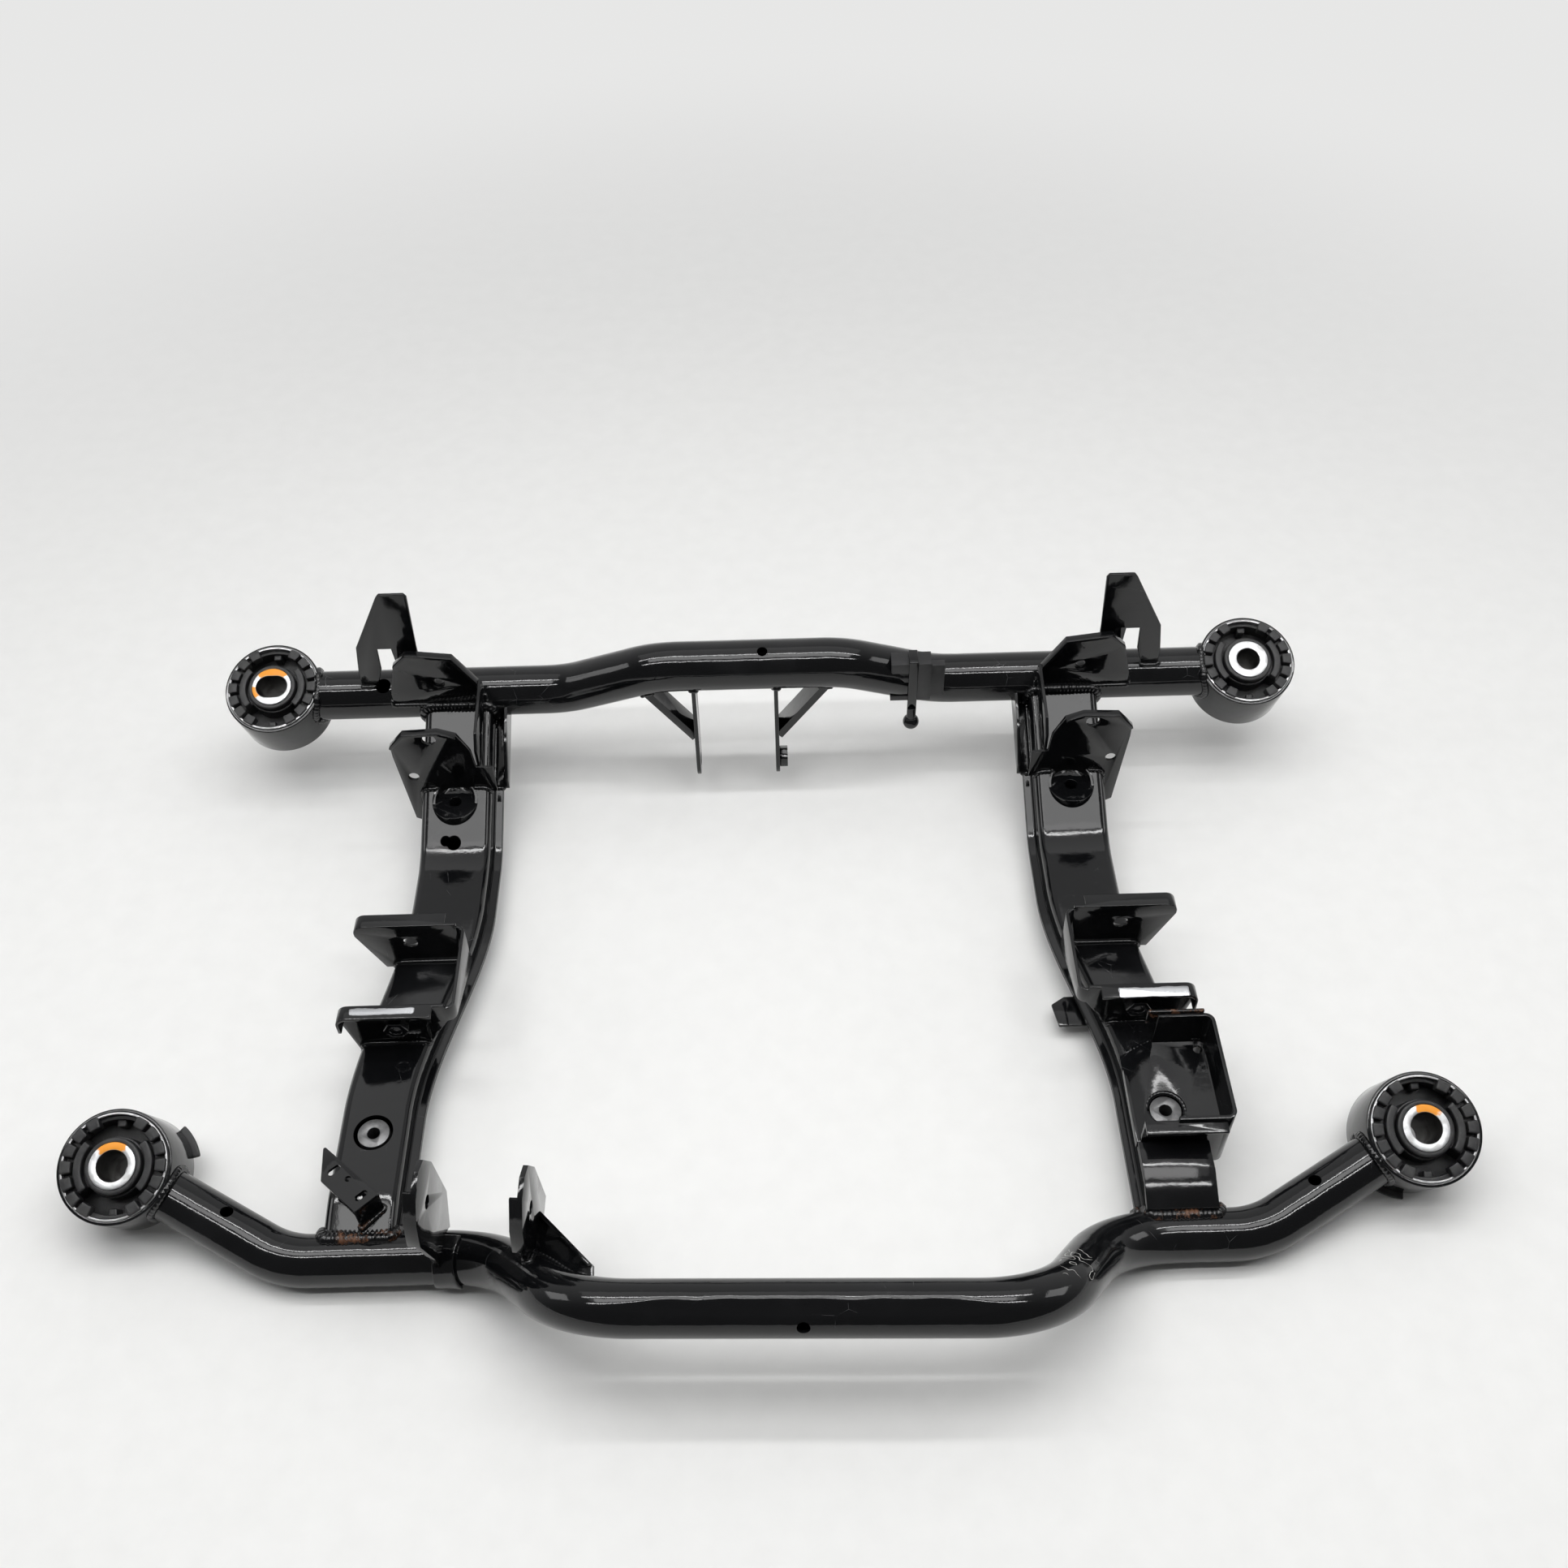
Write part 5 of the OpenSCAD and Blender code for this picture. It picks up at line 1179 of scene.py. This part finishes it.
def seam_segments(foot, base):
    """Segments (n, 2, 3) where the grown foot crosses the base."""
    points_a, index_a = triangles(foot.data, BEAD_GROW * MM)
    points_b, index_b = triangles(base.data)
    tree_a = BVHTree.FromPolygons(points_a.tolist(), index_a.tolist())
    tree_b = BVHTree.FromPolygons(points_b.tolist(), index_b.tolist())
    pairs = np.array(tree_a.overlap(tree_b), int).reshape(-1, 2)
    tri_a, tri_b = points_a[index_a[pairs[:, 0]]], points_b[index_b[pairs[:, 1]]]
    found = crossings(tri_a, tri_b), crossings(tri_b, tri_a)
    point, within = (np.concatenate(both, 1) for both in zip(*found))
    good = within.sum(1) >= 2
    point, within = point[good], within[good]
    order = np.argsort(~within, axis=1, kind="stable")[:, :2]
    return np.take_along_axis(point, order[..., None], 1)


example = seam_segments(stood["front_ear_right"], carriers["near_tube"])
print("the right front ear meets the near tube in", len(example), "segments")

# %% Runs of a seam
SHORTEST_RUN, SEAM_MERGED = 9.0, 0.05


def walk(vert, used):
    """The points of the chain that leaves a vertex over edges that no chain has used."""
    chain = [vert.co[:]]
    while True:
        step = next((e for e in vert.link_edges if e not in used), None)
        if step is None:
            return chain
        used.add(step)
        vert = step.other_vert(vert)
        chain.append(vert.co[:])


def runs(segments):
    """Joins segments end to end into runs, and keeps the long ones, the longest first."""
    seam = bpy.data.meshes.new("seam")
    ends = np.arange(2 * len(segments)).reshape(-1, 2)
    seam.from_pydata(segments.reshape(-1, 3), ends.tolist(), [])
    work = bmesh.new()
    work.from_mesh(seam)
    bpy.data.meshes.remove(seam)
    bmesh.ops.remove_doubles(work, verts=work.verts, dist=SEAM_MERGED * MM)
    found, used = [], set()
    for vert in sorted(work.verts, key=lambda v: (len(v.link_edges) == 2, v.co.x, v.co.y, v.co.z)):
        chain = walk(vert, used)
        while len(chain) > 1:
            places = np.array(chain) / MM
            length = np.linalg.norm(np.diff(places, axis=0), axis=1).sum()
            if length > SHORTEST_RUN:
                found.append((length, places))
            chain = walk(vert, used)
    work.free()
    return [places for _, places in sorted(found, key=lambda run: -run[0])]


print("they join into runs of", [len(run) for run in runs(example)], "points")

# %% Beads along the runs
BEAD_STEP, BEAD_AROUND, BEAD_FADE = 1.05, 8, 2.5
HUMP_PITCH, SLOW_PITCH = 3.6, 13
# Shares of a bead's radius: its body, its humps and its slow waver. The last is how far its square
# is drawn in at the ends.
BODY_SHARE, HUMP_SHARE, SLOW_SHARE, END_SHARE = 0.84, 0.2, 0.1, 0.25
# The slow waver starts at this multiple of the bead's seed, so that it and the humps don't agree.
SLOW_SEED = 2.3
SMOOTHINGS, SAME_POINT, TINY = 3, 1e-6, 1e-9


def bead(build, chain, r, seed):
    """A rod along a run. Its radius is r times a row of humps with a slow waver, and its ends
    are drawn in."""
    steps = np.linalg.norm(np.diff(chain, axis=0), axis=1)
    place = np.concatenate([[0], np.cumsum(steps)])
    keep = np.concatenate([[True], steps > SAME_POINT])
    place, chain = place[keep], chain[keep]
    s = np.linspace(0, place[-1], int(place[-1] / BEAD_STEP) + 2)
    path = np.stack([np.interp(s, place, chain[:, i]) for i in range(3)], 1)
    for _ in range(SMOOTHINGS):
        path[1:-1] = (path[:-2] + 2 * path[1:-1] + path[2:]) / 4
    along = np.gradient(path, axis=0)
    along /= np.linalg.norm(along, axis=1, keepdims=True) + TINY
    side = np.cross(along, BEAD_ASKEW)
    side /= np.linalg.norm(side, axis=1, keepdims=True) + TINY
    other = np.cross(along, side)
    humps = np.abs(np.sin(s * np.pi / HUMP_PITCH + seed))
    slow = np.sin(s / SLOW_PITCH + seed * SLOW_SEED)
    radius = BODY_SHARE + HUMP_SHARE * humps + SLOW_SHARE * slow
    to_end = np.minimum(s, place[-1] - s) / BEAD_FADE
    radius = r * radius * np.clip(to_end, END_SHARE, 1) ** 0.5
    t = full_turn(BEAD_AROUND)[None, :, None]
    ring = np.cos(t) * side[:, None] + np.sin(t) * other[:, None]
    build.closed(path[:, None] + ring * radius[:, None, None])
    return place[-1]


STANDING = {
    "near_tube": ["front_ear_left", "front_ear_right", "front_gusset", "right_saddle"],
    "far_tube": ["left_arm_bracket_rear", "right_arm_bracket_rear",
                 "left_upright", "right_upright", "middle_ear_left", "middle_ear_right",
                 "middle_gusset_left", "middle_gusset_right"],
    "left_upper": ["left_link_bracket", "left_arm_bracket_front", "left_arm_brace",
                   "left_slotted_bracket"],
    "right_upper": ["right_link_bracket", "right_arm_bracket_front", "right_arm_brace",
                    "right_box_bracket", "right_saddle", "right_tab"],
}
JOINTS = {
    "housings": [("near_tube", "front_left"), ("near_tube", "front_right"),
                 ("far_tube", "rear_left"), ("far_tube", "rear_right")],
    "members": [("left_upper", "near_tube"), ("right_upper", "near_tube"),
                ("left_upper", "far_tube"), ("right_upper", "far_tube")],
}
SMALL_BEAD_R, BEAD_R = 2.6, {"housings": 3.6, "members": 5.4}
MOST_RUNS, SEED_STEP = 9, 0.7


def weld_all():
    """One piece of beads for each carrier, and one for each kind of joint of the big parts, where
    only the longest run is welded."""
    groups = {name: [(stood[foot], carriers[name], MOST_RUNS) for foot in feet]
              for name, feet in STANDING.items()}
    groups.update({name: [(carriers[foot], carriers[base], 1) for foot, base in pairs]
                   for name, pairs in JOINTS.items()})
    total, seed = 0.0, 0.0
    for name, pairs in groups.items():
        build, radius = Build(), BEAD_R.get(name, SMALL_BEAD_R)
        for foot, base, most in pairs:
            found = runs(seam_segments(foot, base))[:most]
            for chain in found:
                seed += SEED_STEP
                total += bead(build, chain + [0, DEPTH_MIDDLE, 0], radius, seed)
            print(" ", foot.name, "on", base.name, len(found), "runs")
        piece(build.mesh(name + "_beads"), WELD, sharp=60)
    print("beads", round(total), "mm")


weld_all()

# %% [markdown]
# ## Floor
#
# The floor is plain and pale, and keeps only the shadow. A white world alone would give no shadow,
# and a plain floor would darken towards the edges of the picture. So near the subframe it is lit
# like any surface, and further off it turns into the backdrop's own pale grey, for the rays of the
# camera and for those that come off metal or through glass.

# %% Floor
FLOOR_REACH, FLOOR_Z = 6.0, -0.0002
FLOOR_DARK, FLOOR_PALE, BACKDROP = (0.76, 0.76, 0.75), (0.82, 0.82, 0.81), (0.8, 0.8, 0.795, 1)
LIT_TO, BACKDROP_FROM = 0.85, 2.0
CAMERA_RAY, GLOSSY_RAY, TRANSMISSION_RAY = 0, 3, 6

corner_signs = ((-1, -1), (1, -1), (1, 1), (-1, 1))
floor_mesh = bpy.data.meshes.new("floor")
floor_mesh.from_pydata([(FLOOR_REACH * x, FLOOR_REACH * y, FLOOR_Z) for x, y in corner_signs],
                       [], [(0, 1, 2, 3)])
floor = linked("floor", floor_mesh)
ground = Shade("floor_pale")
spot, _ = ground.place()
tone = ground.blend(ground.noise(spot, 40, 4), FLOOR_DARK, FLOOR_PALE)
lit = ground.node("BsdfPrincipled", None, Base_Color=tone, Roughness=0.7)
backdrop = ground.node("Emission", None, BACKDROP, 1.0)
distance = ground.node("VectorMath", {"operation": "LENGTH"}, spot, out=1)
seen = (ground.node("LightPath", out=CAMERA_RAY) + ground.node("LightPath", out=GLOSSY_RAY)
        + ground.node("LightPath", out=TRANSMISSION_RAY))
share = ground.ramp(distance, LIT_TO, BACKDROP_FROM) * seen
ground.node("OutputMaterial", None, ground.node("MixShader", None, share, lit, backdrop))
floor_mesh.materials.append(ground.material)
print("floor", round(2 * FLOOR_REACH, 1), "m wide")

# %% [markdown]
# ## Light
#
# The tubes in the photograph carry two bright lines side by side, as under two long lamps. One big
# soft lamp would give a single broad sheen. So two narrow strips hang over the subframe, a panel
# between them and a wide lamp behind them fill the flat faces, and two small lamps at the sides
# keep the members' walls from going black.

# %% Lights
LAMP_AIM = (0, 0, 0.05)
# Each lamp is its place, its width and depth in metres, and its power in watts.
LAMPS = {
    "back_strip": ((0.0, 0.28, 2.0), (3.2, 0.08), 14),
    "front_strip": ((0.0, -0.6, 2.0), (3.2, 0.08), 14),
    "panel": ((0.0, -0.12, 2.2), (2.6, 0.5), 14),
    "ceiling": ((0.0, 0.9, 3.4), (5.0, 2.6), 20),
    "left_fill": ((-2.8, 0.2, 1.6), (1.0, 1.0), 7),
    "right_fill": ((2.8, 0.2, 1.6), (1.0, 1.0), 7),
}


def lamp(name, at, size, power):
    """A flat lamp at a point, turned to the aim, with its width level."""
    data = bpy.data.lights.new(name, "AREA")
    data.shape = "RECTANGLE"
    data.size, data.size_y = size
    data.energy = power
    back = unit(np.subtract(at, LAMP_AIM))
    overhead = abs(back[2]) > 0.99
    right = unit(np.cross([0, 1, 0] if overhead else [0, 0, 1], back))
    return placed(data, right, np.cross(back, right), back, at)


print("lamps", [lamp(name, *sizes).name for name, sizes in LAMPS.items()])

# %% [markdown]
# ## Room
#
# The room gives the black paint something dim to reflect: a little light from all round, and more
# from the far side. It could be a picture of a room, but a soft ramp over the direction is enough
# on so dark a film. The camera itself sees an even pale grey.

# %% Room
ROOM_GLOW, NORTH_GLOW, SEEN_GLOW = 0.1, 0.5, 0.8
GLOW_FROM, GLOW_TO = -0.55, 0.9

world = bpy.data.worlds.new("room")
room = Shade("room", world)
north = room.parts(room.node("TexCoord", out=0))[1]
looked_at = room.node("LightPath", out=CAMERA_RAY)
glow = ROOM_GLOW + room.ramp(north, GLOW_FROM, GLOW_TO) * NORTH_GLOW
strength = glow * (1.0 - looked_at) + looked_at * SEEN_GLOW
room.node("OutputWorld", None, room.node("Background", None, (1, 1, 1, 1), strength))
bpy.context.scene.world = world
bpy.context.scene.view_settings.view_transform = "Standard"
print("room", world.name, bpy.context.scene.view_settings.view_transform)
